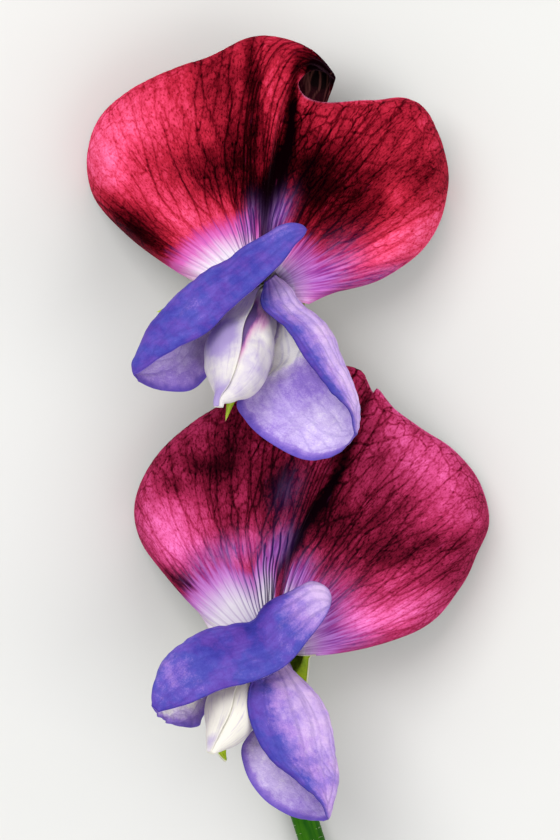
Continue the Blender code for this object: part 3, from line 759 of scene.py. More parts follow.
def paint_veins(places, tracks):
    """Two fields for a petal: the veins themselves, and the petal close to a vein."""
    samples, halves = [], []
    for track in tracks:
        lane, row, half = np.transpose(track)
        at = np.linspace(0, len(track) - 1, 4 * len(track))
        known = np.arange(len(track))
        samples.append(read_grid(places, np.interp(at, known, lane), np.interp(at, known, row)))
        halves.append(np.interp(at, known, half))
    samples, halves = np.concatenate(samples), np.concatenate(halves)
    tree = kdtree.KDTree(len(samples))
    for k, place in enumerate(samples):
        tree.insert(place, k)
    tree.balance()
    vein, halo = np.zeros(places.shape[:2]), np.zeros(places.shape[:2])
    most = halves.max()
    for index in np.ndindex(vein.shape):
        found = tree.find_n(places[index], NEAR_VEINS)
        vein[index] = max(math.exp(-(gap / max(halves[k], PAINTED_HALF)) ** 2) * (halves[k] / most) ** 0.7
                          for _, k, gap in found)
        halo[index] = math.exp(-(found[0][2] / VEIN_HALO) ** 2)
    return vein, halo


print("a vein tints the petal about", VEIN_HALO, "mm to each side")

# %% [markdown]
# Soft spots
#
# Clouds of pigment that every bloom of this kind has in the same place, and a few patches of
# painted shade and highlight, are laid as soft round spots. They could be brushed on by hand, but
# a spot written down as a few numbers is easy to shift, and spots that overlap simply add up.


# %% Soft spots
def spread_spots(places, spots):
    """Soft spots laid over a petal in plan: (x, y, half width, half height, lean, strength)."""
    total = np.zeros(places.shape[:2])
    for x, y, wide, tall, lean, strength in spots:
        lean = math.radians(lean)
        dx, dy = places[..., 0] - x, places[..., 1] - y
        across = (dx * math.cos(lean) + dy * math.sin(lean)) / wide
        along = (dy * math.cos(lean) - dx * math.sin(lean)) / tall
        total += strength * np.exp(-(across ** 2 + along ** 2))
    return total


def grid_spots(shape, spots):
    """Soft spots laid over a grid by shares of it: (column, row, half widths, strength)."""
    column, row = np.meshgrid(np.linspace(0, 1, shape[0]), np.linspace(0, 1, shape[1]), indexing="ij")
    total = np.zeros(shape)
    for x, y, wide, tall, strength in spots:
        total += strength * np.exp(-((column - x) / wide) ** 2 - ((row - y) / tall) ** 2)
    return total


print("a spot in the middle of a grid:", grid_spots((3, 3), [(0.5, 0.5, 0.5, 0.5, 1.0)]).round(2).tolist())

# %% [markdown]
# The standard
#
# The broad back petal of a sweet pea is called the standard. It leaves the green cup as a
# narrow gutter, spreads flat, is creased along its middle, and curls back all round. It could be
# sculpted from a disc, but then its curl would be hard to steer, so each of its ribs is drawn
# from the side first: up the claw, over into the blade, and round the curl. The ribs are then
# fanned out over the headings of the rim.

# %% The standard's shape
CLAW_HEIGHT = 8.4  # the claw is a gutter that stands in the green cup
CLAW_RADIUS = 2.45
CLAW_RISE = 2.3
CLAW_BEND = 1.9
CLAW_FLOOR = 2.3  # how far the claw reaches in under the other petals
CLAW_SLOPE = 0.1  # of that floor
CURL_MOST = 0.45  # of a rib's free reach
SAG = 1.4
CREASE_START = 5.0
CREASE_FADE = 8.0
REFLEX_BLUR = 0.8  # degrees over which one curl blends into the next
REFLEX_READS = 7  # how often the curl is read within them


def rib(reach, radius, turn, tail, rim_height, rows):
    """One rib from the side: how far out and how high each row lies."""
    spread = reach - CLAW_RADIUS - CLAW_BEND
    radius = min(radius, CURL_MOST * spread)
    turn = math.radians(turn)
    used = radius * math.sin(min(turn, math.pi / 2)) + max(0.0, tail * math.cos(turn))
    blade = max(spread - used, 0.2)
    bend = CLAW_BEND * math.pi / 2
    stops = np.cumsum([-CLAW_FLOOR, CLAW_FLOOR, CLAW_RISE, bend, blade, radius * turn, tail])
    run = np.linspace(stops[0], stops[-1], FINE_STEPS)
    slope = np.interp(run, stops, [CLAW_SLOPE, math.pi / 2, math.pi / 2, 0, 0, -turn, -turn])
    step = run[1] - run[0]
    out, height = (np.concatenate([[0], np.cumsum(way(slope[1:]) * step)]) for way in (np.cos, np.sin))
    out += CLAW_RADIUS - np.interp(0, run, out)
    height += CLAW_HEIGHT - np.interp(0, run, height)
    progress = np.clip((run - stops[3]) / (stops[-1] - stops[3]), 0, 1)
    height += (rim_height - height[-1]) * progress ** SAG
    stations = np.linspace(stops[0], stops[-1], rows)
    return np.interp(stations, run, out), np.interp(stations, run, height)


def standard_places(bloom, columns, rows):
    """The broad back petal, and the heading of each of its ribs."""
    throat = np.array(bloom["throat"])
    rim = np.array(bloom["rim"], float)
    rim = through(np.arange(len(rim)), rim, np.linspace(0, len(rim) - 1, columns))
    keys = np.array(bloom["reflex"], float)[::-1]
    places = np.zeros((columns, rows, 3))
    for i, (x, y, heading) in enumerate(rim):
        end = np.array([x, y]) - throat
        reach = np.linalg.norm(end)
        near = heading + np.linspace(-REFLEX_BLUR, REFLEX_BLUR, REFLEX_READS)
        reflex = [np.mean(np.interp(near, keys[:, 0], keys[:, k])) for k in range(1, 5)]
        out, height = rib(reach, *reflex, rows)
        fade = np.clip((out - CREASE_START) / CREASE_FADE, 0, 1)
        for middle, width, depth in bloom["creases"]:
            height -= depth * math.exp(-((heading - middle) / width) ** 2) * fade
        first = np.array([math.cos(math.radians(heading)), math.sin(math.radians(heading))])
        hook = np.interp(heading, *np.transpose(bloom["hook"]))
        furthest = np.maximum.accumulate(out)
        share = np.clip(furthest / reach, 0, 1)[:, None]
        places[i, :, :2] = (throat + share * (1 - share) * (1 + hook * share) * first * reach
                            + share ** 2 * end
                            + (out - furthest)[:, None] * end / reach)
        places[i, :, 2] = height
    return places, rim[:, 2]


rough_places = standard_places(UPPER, 60, 40)[0]
print("the upper standard is", round(float(np.ptp(rough_places[..., 0])), 1), "mm wide")

# %% [markdown]
# Dark and light of the standards
#
# Each standard has dark clouds beside the crease and in the middle of each lobe, and bright pink
# near the rim. The black along each crease is partly pigment and partly painted shade, the fold
# of the upper crown has painted shade in its furrow and a painted highlight on its ridge, and
# the inside of the upper roll is painted dark as its shadow. Noise alone would put them anywhere,
# so they are laid as soft spots in plan: (x, y, half width, half height, lean, strength). Minus
# is darker, plus is lighter. Fine noise breaks up their edges later.

# %% Dark and light of the standards
UPPER_TONES = [
    # (-0.4, 24.2), (1.2, 30.8) and (-0.9, 20.0) darken the crease: partly pigment, partly painted shade.
    # (-2.8, 34.0) is painted shade in the furrow of the crown's fold.
    (-0.4, 24.2, 1.0, 5.2, -16, -1.3), (1.2, 30.8, 0.45, 4.5, -6, -0.8), (-2.8, 34.0, 0.9, 5.0, 3, -0.45),
    (-2.5, 22.6, 1.2, 1.8, 0, -0.55), (2.2, 23.6, 1.5, 4.6, -5, -0.45), (-5.5, 29.8, 1.5, 2.6, 0, -0.22),
    (6.0, 18.9, 2.4, 1.8, 15, -0.30), (14.6, 24.2, 2.2, 2.2, 0, -0.34), (11.2, 22.8, 1.4, 1.6, 0, 0.24),
    (-14.0, 22.4, 2.0, 1.8, 0, 0.22), (-0.9, 20.0, 0.7, 3.5, -4, -1.2), (-3.3, 26.6, 1.8, 4.0, -8, -0.56),
    (-6.8, 25.0, 3.0, 2.6, 30, -0.46), (-8.8, 29.6, 1.6, 2.8, 0, 0.04), (4.0, 23.8, 2.6, 4.6, 5, -0.55),
    # (4.2, 34.3) is painted shadow inside the roll at the notch.
    (8.0, 23.2, 3.2, 4.2, 20, -0.47), (4.2, 34.3, 1.5, 1.6, 0, -1.5), (2.0, 33.9, 0.4, 0.9, 0, 0.6),
    (4.8, 31.3, 3.2, 1.0, 0, -0.24), (4.8, 28.5, 2.0, 2.0, 0, -0.16), (-14.8, 19.6, 4.6, 1.7, -42, -0.74),
    (3.2, 35.8, 1.8, 1.6, -30, -0.55), (-6.0, 34.5, 2.6, 2.6, 20, -0.3), (12.0, 29.0, 3.4, 2.4, -20, -0.12),
    # (-0.9, 31.5) is a painted highlight on the lit ridge of the crown's fold.
    (-14.5, 30.0, 4.4, 3.4, 35, 0.46), (-17.5, 25.0, 2.4, 4.5, 10, 0.55), (-0.9, 31.5, 1.0, 4.5, 2, 0.14),
    (5.0, 29.2, 1.5, 1.6, 0, 0.2), (-5.4, 19.5, 2.6, 2.2, 0, 0.35), (-9.8, 20.0, 2.6, 3.2, 30, 0.40),
    (11.5, 17.4, 6.0, 2.4, 25, 0.52), (15.2, 20.2, 2.4, 3.4, 0, 0.20), (5.0, 15.5, 3.0, 2.0, 0, 0.12),
]
LOWER_TONES = [
    # (2.6, -10.6) and (6.4, -3.8) darken the crease: partly pigment, partly painted shade.
    (2.6, -10.6, 0.6, 6.0, -33, -0.85), (6.4, -3.8, 0.7, 6.0, -22, -0.7), (0.4, -6.4, 1.6, 2.4, -20, -0.45),
    (10.2, -13.2, 3.0, 2.4, 15, -0.35), (0.8, -8.4, 2.6, 4.4, -18, -0.34), (-4.2, -10.2, 1.8, 2.0, 0, -0.20),
    (-10.6, -6.8, 1.5, 1.3, 0, -0.30), (-1.6, -6.4, 1.4, 3.0, -10, -0.22), (1.4, -12.6, 0.9, 1.2, 0, -0.30),
    (5.2, -10.4, 1.6, 2.8, -20, -0.30), (17.2, -12.4, 1.8, 1.4, 10, -0.20), (11.2, -15.6, 2.2, 1.3, 15, 0.22),
    (14.4, -3.8, 3.0, 2.4, -35, 0.30), (-10.4, -13.3, 1.8, 1.6, 0, 0.28), (-5.4, -3.5, 1.7, 5.0, -8, -0.40),
    (-8.0, -4.6, 3.2, 1.7, -10, -0.36), (6.5, -11.0, 2.6, 3.6, -30, -0.25), (-0.5, -1.5, 5.0, 2.6, 10, -0.30),
    (14.0, -12.8, 4.0, 1.1, 18, -0.28), (11.5, -9.0, 3.0, 2.5, 0, -0.25), (-9.5, -16.3, 2.0, 0.6, -35, -0.6),
    (16.5, -16.0, 3.0, 2.2, 35, -0.15), (-11.5, -10.5, 2.8, 3.4, 20, 0.60),
    (-3.4, -12.6, 1.2, 2.6, -15, 0.45),
    (15.0, -6.0, 4.6, 3.6, 30, 0.22), (12.2, -19.3, 5.6, 2.0, 20, 0.62), (17.5, -9.5, 2.4, 3.0, 0, 0.25),
    (7.0, -20.0, 3.0, 2.0, 10, 0.5), (-8.0, -12.0, 2.0, 3.0, 0, 0.25), (11.5, -1.0, 2.5, 1.5, -40, 0.25),
]
print("spots of the upper standard:", len(UPPER_TONES), "and of the lower one:", len(LOWER_TONES))

# %% [markdown]
# Violet and white of the standards
#
# Round the throat the standards turn white, with violet clouds beside the white. The white could
# be a round spot too, but it reaches further out at some headings than at others, so it is
# given by heading: (heading, reach of the white, width of the change to the full colour).

# %% Violet and white of the standards
UPPER_VIOLET = [
    (-3.0, 19.4, 0.8, 1.8, -6, 0.85), (-0.1, 20.3, 0.9, 1.9, -22, 0.75), (0.8, 14.6, 1.7, 1.4, 0, 0.6),
    (4.4, 14.3, 3.6, 2.1, 30, 0.85), (10.0, 14.4, 3.4, 0.9, 20, 0.5), (2.2, 16.6, 1.2, 1.4, 0, 0.45),
]
LOWER_VIOLET = [
    (-5.4, -13.2, 4.0, 1.4, 10, 0.45), (0.8, -7.2, 1.3, 2.6, -25, 0.10), (-8.0, -15.4, 1.4, 1.4, 0, 0.40),
    (-0.5, -13.2, 0.9, 2.4, -28, 0.75), (2.0, -15.4, 1.0, 1.7, -35, 0.7), (4.4, -19.6, 3.0, 3.0, 20, 0.75),
    (6.5, -22.0, 3.0, 1.2, 10, 0.5),
]
UPPER_BASE = [
    (-18, 2.2, 6.5), (20, 2.0, 6.5), (60, 1.5, 6.5), (82, 1.5, 6.5), (86, 0.0, 3.0), (91, 0.0, 3.0),
    (95, 3.0, 5.0), (104, 3.8, 5.0), (125, 4.6, 4.6), (150, 5.4, 5.0), (172, 5.8, 6.0),
]
LOWER_BASE = [
    (-23, 1.6, 6.5), (20, 2.4, 6.0), (60, 3.0, 6.5), (74, 4.8, 5.0), (80, 5.4, 4.5), (84, 0.5, 3.5),
    (88, 0.5, 3.5), (92, 5.0, 5.0), (99, 6.3, 5.0), (110, 4.4, 4.8), (125, 6.0, 5.5), (172, 6.4, 5.5),
]
print("the white reaches at most", max(reach for _, reach, _ in UPPER_BASE + LOWER_BASE), "mm from a throat")

# %% [markdown]
# The standard's face
#
# The face is crimson to pink with near-black clouds, and white at the claw, where violet guide
# lines lead to the nectar. A painted picture would do, but it would show its pixels up close, so
# one ramp turns the tone, darkened close to the veins and broken up by fine noise, into colour.
# The veins, the base and a thin pale rim are mixed over it, and the tone is lifted near the rim as
# painted rim light. A soft sheen stands for the velvet of tiny domed cells, which also sparkle
# through a fine bump.

# %% The standard's face
FACE_STOPS = [
    (0.00, colour(8, 0, 2)), (0.16, colour(44, 2, 6)), (0.32, colour(104, 10, 24)),
    (0.50, colour(172, 32, 54)), (0.66, colour(218, 62, 98)), (0.84, colour(246, 104, 152)),
    (1.00, colour(255, 146, 188)),
]
FACE_STOPS_LOWER = [
    (0.00, colour(10, 1, 5)), (0.16, colour(48, 4, 14)), (0.32, colour(106, 17, 41)),
    (0.50, colour(164, 41, 82)), (0.66, colour(206, 74, 130)), (0.84, colour(240, 114, 182)),
    (1.00, colour(252, 158, 212)),
]
BASE_STOPS = [
    (0.00, colour(196, 36, 92)), (0.28, colour(204, 70, 146)), (0.50, colour(224, 110, 190)),
    (0.75, colour(242, 192, 230)), (1.00, colour(255, 246, 250)),
]
BASE_STOPS_LOWER = [
    (0.00, colour(168, 44, 100)), (0.28, colour(170, 78, 156)), (0.50, colour(190, 124, 194)),
    (0.75, colour(208, 182, 216)), (1.00, colour(226, 218, 226)),
]


def standard_face(name, stops, base_stops):
    """The velvety front of a standard."""
    finish = Finish(name, Specular_IOR_Level=0.0, Sheen_Weight=0.06, Sheen_Roughness=0.3,
                    Sheen_Tint=colour(255, 170, 210))
    names = ("vein", "halo", "base", "crease", "violet", "rim")
    vein, halo, base, crease, lilac, edge = (finish.field(field) for field in names)
    grain = finish.noise(0.20, 3.0, 0.7)
    cloud = finish.noise(1.7, 4.0, 0.62)
    streak = finish.streaks(0.45, 0.12)
    hatch = finish.streaks(0.14, 0.30)
    border = 1 - finish.net(0.85, 0.42, 0.3).rise(0.02, 0.12)
    near_rim = (1 - edge.rise(3.0, 9.0)) * (0.01 + cloud * 0.15)
    net = border * (1 - base.rise(0.0, 0.3)) * (cloud.rise(0.35, 0.65) * 0.10 + near_rim)
    line = vein.rise(0.22, 0.82) * (0.9 + (cloud - 0.5) * 1.2)
    # Painted rim light: the tone is lifted close to the free rim, where the curl turns from the lamps.
    painted_rim_light = 1 - edge.rise(0.2, 2.2)
    even = finish.field("tone") * 0.5 + 0.59
    line_depth = 0.11 + even.rise(0.1, 0.6) * 0.12 - even.rise(0.65, 1.0) * 0.10
    tone = even + (cloud - 0.5) * 0.36 + (streak - 0.5) * 0.18 + painted_rim_light * 0.12
    tone = tone - hatch.rise(0.46, 0.70) * 0.15 - grain.rise(0.5, 0.7) * 0.08 - net
    tone = tone - halo * 0.06 * (1 - base) - line * line_depth

    skin = finish.ramp(tone, stops)
    pale = finish.ramp(base + (streak - 0.5) * 0.5, base_stops)
    skin = finish.mix((base + (streak - 0.5) * 0.6).rise(0.08, 0.42), skin, pale)
    violet = finish.mix(streak.rise(0.35, 0.65), colour(110, 52, 150), colour(180, 124, 208))
    skin = finish.mix(lilac * (0.6 + streak * 0.5), skin, violet)
    ink = finish.mix(crease, colour(128, 62, 158), colour(34, 8, 56))
    skin = finish.mix(vein.rise(0.42, 0.95) * base.rise(0.03, 0.25) * (0.5 + crease * 0.45), skin, ink)
    guide = finish.field("guide") * (lilac + base).rise(0.1, 0.5)
    guide_ink = finish.mix(crease, colour(92, 70, 140), colour(26, 12, 64))
    skin = finish.mix(guide.rise(0.2, 0.65) * 0.9, skin, guide_ink)
    rim = 1 - edge.rise(0.05, 0.28)
    skin = finish.mix(rim * tone.rise(0.25, 0.6) * 0.5, skin, colour(222, 140, 186))
    relief = grain * 0.5 + finish.cells(0.13) * 0.5 - vein * 0.8
    return finish.wear(skin, grain.rise(0.2, 0.8) * 0.2 + 0.5, relief, 0.05)


print("the face of a standard is read off", len(FACE_STOPS), "stops")

# %% [markdown]
# The standard's back
#
# The back shows only where the notch is rolled over. It is duller than the face, with paler
# veins, and pale green at its foot, and it is painted near black as the shade inside the roll.
# The face's finish could serve both sides, but the roll would then glow red.

# %% The standard's back
# The back's ramp runs near black: partly the duller back, partly painted shade inside the roll.
BACK_SHADE_STOPS = [
    (0.00, colour(4, 1, 2)), (0.35, colour(74, 20, 34)), (0.60, colour(128, 48, 76)),
    (1.00, colour(186, 96, 140)),
]


def standard_back(name):
    """The duller back of a standard with paler veins, painted near black as the shade inside the roll."""
    finish = Finish(name, Specular_IOR_Level=0.06, Specular_Tint=colour(255, 180, 190))
    vein, base = finish.field("vein"), finish.field("base")
    grain, cloud = finish.noise(0.2, 3.0, 0.7), finish.noise(1.6, 4.0, 0.62)
    tone = finish.field("tone") * 0.28 + 0.3 + (cloud - 0.5) * 0.5 + (grain - 0.5) * 0.2
    skin = finish.ramp(tone, BACK_SHADE_STOPS)
    skin = finish.mix(vein.rise(0.2, 0.9) * 0.25, skin, colour(196, 116, 108))
    skin = finish.mix(base.rise(0.2, 0.9), skin, colour(214, 214, 190))
    return finish.wear(skin, grain.rise(0.2, 0.8) * 0.2 + 0.45, grain * 0.5 + vein, 0.06)


print("the back of a standard is read off", len(BACK_SHADE_STOPS), "stops")

# %% [markdown]
# Both standards
#
# Now the shape, the veins and the spots come together. The fields are painted on the petal while
# it is still even, because waves would shift the spots. Then soft waves and shallow grooves under
# the veins go over it, and the sheet gets its wall. The grooves could be left to a bump, but real
# ones also catch the light at the rim.

# %% Both standards
STANDARD_COLUMNS = 470
STANDARD_ROWS = 102
STANDARD_WALL = 0.24
WAVE_SIZE = 7.0
WAVE_HEIGHT = 0.16
PLEAT_SIZE = 2.6
PLEAT_HEIGHT = 0.05
GROOVE_DEPTH = 0.05
FLAT_CLAW = 3.0  # millimetres above the claw that stay even
WAVE_FADE = 8.0  # millimetres over which the waves set in
STANDARD_ROOTS = 26
ROOT_MARGIN = 3.0  # degrees beside the outermost veins
STANDARD_SPACING = (0.5, 1.7)  # millimetres between veins, at the claw and at the rim
STANDARD_VEIN = 0.125  # half a vein's width
SWEEP = 0.15  # how strongly veins lean towards the crease
CREASE_HEADING = 92.0
DEGREE_WIDTH = 0.25  # millimetres to a degree of heading, half way out
GUIDE_STEP = 3.9  # degrees between the dark guide lines beside the crease
GUIDE_SHARPNESS = 4.5


def white_base(bloom, base_keys, places, headings, run):
    """How white each place is: 1 in the claw, and 0 from where the full colour begins."""
    keys = np.array(base_keys, float)
    white = np.interp(headings, keys[:, 0], keys[:, 1])[:, None]
    change = np.interp(headings, keys[:, 0], keys[:, 2])[:, None]
    reach = np.linalg.norm(places[..., :2] - np.array(bloom["throat"]), axis=2)
    base = np.clip(1 - (reach - white) / change, 0, 1)
    return np.where(run < CLAW_FLOOR + CLAW_RISE + CLAW_BEND, 1.0, base)


def guide_lines(aside, places, seed):
    """Dark lines that run out of the throat beside the crease."""
    drift = 0.9 * ripples(places, 4.0, seed)
    lines = (0.5 + 0.5 * np.cos(2 * math.pi * aside[:, None] / GUIDE_STEP + drift)) ** GUIDE_SHARPNESS
    return lines * np.exp(-((aside - 6) / 28) ** 2)[:, None]


def build_standard(bloom, tones, even, violet, base_keys, stops, base_stops, seed):
    """One standard with its veins and its colours. Even is the tone that the spots change."""
    places, headings = standard_places(bloom, STANDARD_COLUMNS, STANDARD_ROWS)
    run = run_of(places, 1)
    edge = rim_distance(places)
    aside = headings - CREASE_HEADING
    half = STANDARD_VEIN * (0.75 + 0.3 * np.exp(-(aside / 30) ** 2))
    roots = np.linspace(headings.min() + ROOT_MARGIN, headings.max() - ROOT_MARGIN, STANDARD_ROOTS)
    starts = np.interp(roots, headings[::-1], np.arange(len(headings))[::-1])
    sweep = SWEEP * np.clip(aside / 60, -1, 1)
    tracks = grow_veins(places, starts, STANDARD_SPACING, half, seed, sweep)
    vein, halo = paint_veins(places, tracks)
    fields = {
        "vein": vein, "halo": halo, "base": white_base(bloom, base_keys, places, headings, run),
        "crease": np.broadcast_to(np.exp(-(aside / 22) ** 2)[:, None], run.shape),
        "tone": even + spread_spots(places, tones), "guide": guide_lines(aside, places, seed + 4),
        "violet": np.clip(spread_spots(places, violet), 0, 1), "along": run,
        "across": np.broadcast_to(headings[:, None] * DEGREE_WIDTH, run.shape),
    }
    fade = np.clip((run - CLAW_FLOOR - CLAW_RISE - FLAT_CLAW) / WAVE_FADE, 0, 1)
    places[..., 2] += WAVE_HEIGHT * ripples(places * (1, 1, 0.2), WAVE_SIZE, seed + 2) * fade
    pleats = ripples(np.stack([fields["across"], run * 0.12, run * 0], axis=2), PLEAT_SIZE, seed + 3)
    places += normals_of(places) * ((PLEAT_HEIGHT * pleats - GROOVE_DEPTH * vein) * fade)[..., None]
    places[..., 2] = np.maximum(places[..., 2], STANDARD_WALL / 2)
    name = bloom["name"]
    face = standard_face(f"standard_face_{name}", stops, base_stops)
    faces = [face, standard_back(f"standard_back_{name}")]
    piece = sheet(f"standard_petal_{name}", places, faces, STANDARD_WALL, fields, rim=edge)
    print(len(tracks), "veins")
    hand_over(piece, "standard", f"standard_{name}")


build_standard(UPPER, UPPER_TONES, -0.05, UPPER_VIOLET, UPPER_BASE, FACE_STOPS, BASE_STOPS, 11)
build_standard(LOWER, LOWER_TONES, -0.12, LOWER_VIOLET, LOWER_BASE, FACE_STOPS_LOWER, BASE_STOPS_LOWER, 23)

# %% [markdown]
# The wings
#
# Two wing petals fold over the keel like hoods. A wing could be sculpted, but two flaps that
# meet in a fold are drawn by three lines: the near margin, the crest and the far margin. The
# sheet leaves the near margin, swells over the crest, and drops to the far margin.

# %% The wings' shape
WING_COLUMNS = 180
WING_ROWS = 116
WING_FOLD = 0.42  # share of a wing's rows on its near flap
HOOD_DEPTH = 5.0
FLAP_ARCH = 0.9
FAR_DROP = 1.4


def wing_places(guides, columns, rows):
    """A wing petal: a hood folded along its crest, with a near flap and a far flap."""
    near, crest, far = (line_through(guides[name], columns) for name in ("near", "crest", "far"))
    down = np.zeros((columns, 3))
    down[:, 2] = -np.minimum(np.linalg.norm(crest - near, axis=1), HOOD_DEPTH)
    places = np.zeros((columns, rows, 3))
    for j, w in enumerate(np.linspace(0, 1, rows)):
        if w <= WING_FOLD:
            t, start, end = w / WING_FOLD, near, crest
            first, last = (crest - near) * FLAP_ARCH, down
        else:
            t, start, end = (w - WING_FOLD) / (1 - WING_FOLD), crest, far
            first, last = down * FAR_DROP, (far - crest) * FLAP_ARCH
        smooth = t * t * (3 - 2 * t)
        places[:, j] = (start * (1 - smooth) + end * smooth
                        + first * t * (1 - t) ** 2 - last * t * t * (1 - t))
    return places


print("a wing is laid on", WING_COLUMNS, "by", WING_ROWS, "corners")

# %% [markdown]
# The wings' finish
#
# Outside a wing is deep blue-violet, softly mottled, with fine darker veins; inside it is pale
# lilac with a darker band along its free margin. Four wings could have four finishes, but all
# read a ramp over a painted tone, so one finish for each face serves every wing, and listed spots
# lighten or darken each one.

# %% The wings' finish
OUTER_STOPS = [
    (0.00, colour(36, 34, 120)), (0.30, colour(62, 58, 152)), (0.50, colour(76, 76, 166)),
    (0.75, colour(138, 112, 192)), (1.00, colour(190, 162, 214)),
]
HAZE_STOPS = [
    (0.00, colour(58, 34, 122)), (0.30, colour(88, 60, 154)), (0.50, colour(98, 80, 173)),
    (0.75, colour(164, 128, 200)), (1.00, colour(204, 176, 218)),
]
INNER_STOPS = [
    (0.00, colour(80, 64, 166)), (0.30, colour(116, 92, 182)), (0.55, colour(150, 122, 202)),
    (0.80, colour(206, 188, 230)), (1.00, colour(250, 248, 242)),
]


def wing_finish(name, stops, haze, field, margin, ink, mottle):
    """The finish of one face of a wing. Haze is its second hue, margin darkens its rim, and
    mottle is how cloudy it is."""
    finish = Finish(name, Specular_IOR_Level=0.10, Specular_Tint=colour(210, 200, 255))
    vein, halo, rim = finish.field("vein"), finish.field("halo"), finish.field("rim")
    grain, cloud = finish.noise(0.15, 3.0, 0.7), finish.noise(1.1, 4.0, 0.6)
    patch = finish.noise(2.6, 3.0, 0.6)
    hatch = finish.streaks(0.22, 0.35)
    band = 1 - (rim + (cloud - 0.5) * mottle * 2).rise(0.05, 1.2)
    tone = finish.field(field) + (cloud - 0.5) * mottle + (grain - 0.5) * 0.3 + (hatch - 0.5) * 0.22
    tone = tone - halo * 0.05 - band * finish.field("along").rise(9.0, 16.0) * margin
    skin = finish.mix(patch.rise(0.38, 0.62), finish.ramp(tone, stops), finish.ramp(tone, haze))
    skin = finish.mix(vein.rise(0.3, 0.95) * (0.22 + (cloud - 0.5) * 0.9), skin, ink)
    skin = finish.mix((1 - rim.rise(0.06, 0.20)) * 0.6, skin, ink)
    relief = grain * 0.5 + finish.cells(0.12) * 0.5 - vein * 0.7
    return finish.wear(skin, grain.rise(0.2, 0.8) * 0.2 + 0.45, relief, 0.05)


wing_outer = wing_finish("wing_outer", OUTER_STOPS, HAZE_STOPS, "outer", 0.12, colour(46, 36, 124), 0.5)
wing_inner = wing_finish("wing_inner", INNER_STOPS, INNER_STOPS, "inner", 0.46, colour(96, 74, 172), 0.32)
print("a wing has two finishes:", wing_outer.name, "and", wing_inner.name)

# %% [markdown]
# All four wings
#
# Each wing has an even tone for its outer and for its inner face, and spots that change it, given
# by shares of the wing: (from base to tip, from near margin to far margin, half widths,
# strength). Spots in plan, as on the standards, would run straight through a folded petal and
# stain both flaps.

# %% All four wings
WINGS = [  # bloom, side, outer tone and spots, inner tone and spots, ruffle, seed
    (UPPER, "left",
     0.44, [(0.12, 0.3, 0.08, 0.2, 0.18), (0.3, 0.25, 0.12, 0.12, -0.08), (0.6, 0.2, 0.10, 0.10, 0.08),
            (0.75, 0.3, 0.1, 0.1, -0.1)],
     0.66, [(0.75, 0.9, 0.15, 0.1, -0.15), (0.6, 0.8, 0.2, 0.1, 0.15)], 0.06, 31),
    (UPPER, "right",
     0.90, [(0.5, 0.30, 0.5, 0.13, 0.12), (0.5, 0.02, 0.6, 0.12, -0.55)],
     0.64, [(0.30, 0.78, 0.12, 0.2, 0.9), (0.75, 0.75, 0.2, 0.2, 0.2), (0.55, 0.7, 0.12, 0.1, -0.15)],
     0.0, 32),
    (LOWER, "left",
     # (0.31, 0.42) darkens the fold: partly the wing's colour, partly painted shade of the lobe behind.
     0.50, [(0.08, 0.25, 0.13, 0.25, 0.60), (0.42, 0.3, 0.07, 0.12, -0.30), (0.58, 0.25, 0.1, 0.1, -0.20),
            (0.31, 0.42, 0.06, 0.10, -0.50), (0.8, 0.3, 0.1, 0.2, 0.12)],
     0.95, [(0.6, 0.8, 0.2, 0.1, 0.2), (0.75, 0.95, 0.1, 0.08, -0.4)], 0.15, 33),
    (LOWER, "right",
     0.90, [(0.35, 0.3, 0.3, 0.15, 0.15), (0.4, 0.03, 0.6, 0.12, -0.50), (0.75, 0.2, 0.2, 0.15, -0.1)],
     0.70, [(0.6, 0.85, 0.3, 0.15, 0.1), (0.85, 0.9, 0.15, 0.1, -0.15)], 0.0, 34),
]
WING_WALL = 0.24
WING_ROOTS = 12
WING_SPACING = (0.5, 1.5)
WING_VEIN = 0.13
WING_ACROSS = 14.0  # millimetres from margin to margin, about
WING_WAVE = 0.14
WING_WAVE_SIZE = 5.0
WAVE_MARGIN = 2.5  # millimetres from the rim at which the waves are full
RUFFLE_SIZE = 1.5
CREPE_HEIGHT = 0.035
CREPE_SIZE = 1.3


def build_wing(bloom, side, outer, outer_spots, inner, inner_spots, ruffle, seed):
    """One wing. The left wings are laid with their inner face first, the right with the outer."""
    places = wing_places(bloom[f"{side}_wing"], WING_COLUMNS, WING_ROWS)
    edge = rim_distance(places)
    starts = np.linspace(0.02, 0.98, WING_ROOTS) * (WING_ROWS - 1)
    tracks = grow_veins(places.transpose(1, 0, 2), starts, WING_SPACING, WING_VEIN, seed)
    vein, halo = (field.T for field in paint_veins(places.transpose(1, 0, 2), tracks))
    fields = {
        "vein": vein, "halo": halo, "along": run_of(places, 0),
        "across": WING_ACROSS * np.linspace(0, 1, WING_ROWS) * np.ones((WING_COLUMNS, 1)),
        "outer": outer + grid_spots(vein.shape, outer_spots),
        "inner": inner + grid_spots(vein.shape, inner_spots),
    }
    waves = WING_WAVE * ripples(places, WING_WAVE_SIZE, seed) * np.clip(edge / WAVE_MARGIN, 0, 1)
    crepe = CREPE_HEIGHT * ripples(places, CREPE_SIZE, seed + 1, 20)
    far_margin = np.clip(np.linspace(-4.0, 1.0, WING_ROWS), 0, 1)
    frill = ruffle * ripples(places, RUFFLE_SIZE, seed + 2) * far_margin
    places += normals_of(places) * (waves + frill + crepe - GROOVE_DEPTH * vein)[..., None]
    faces = [wing_inner, wing_outer] if side == "left" else [wing_outer, wing_inner]
    piece = sheet(f"wing_petal_{side}_{bloom['name']}", places, faces, WING_WALL, fields, rim=edge)
    hand_over(piece, "wing", f"wing_{side}_{bloom['name']}")


for wing in WINGS:
    build_wing(*wing)

# %% [markdown]
# The keel
#
# The two lowest petals have grown together into a little boat, the keel, which hides the
# stamens. It could be two sheets that touch, but the real ones are joined, so it is one tube of
# changing width along a leaning line, open by a narrow slit where one lip laps over the other.

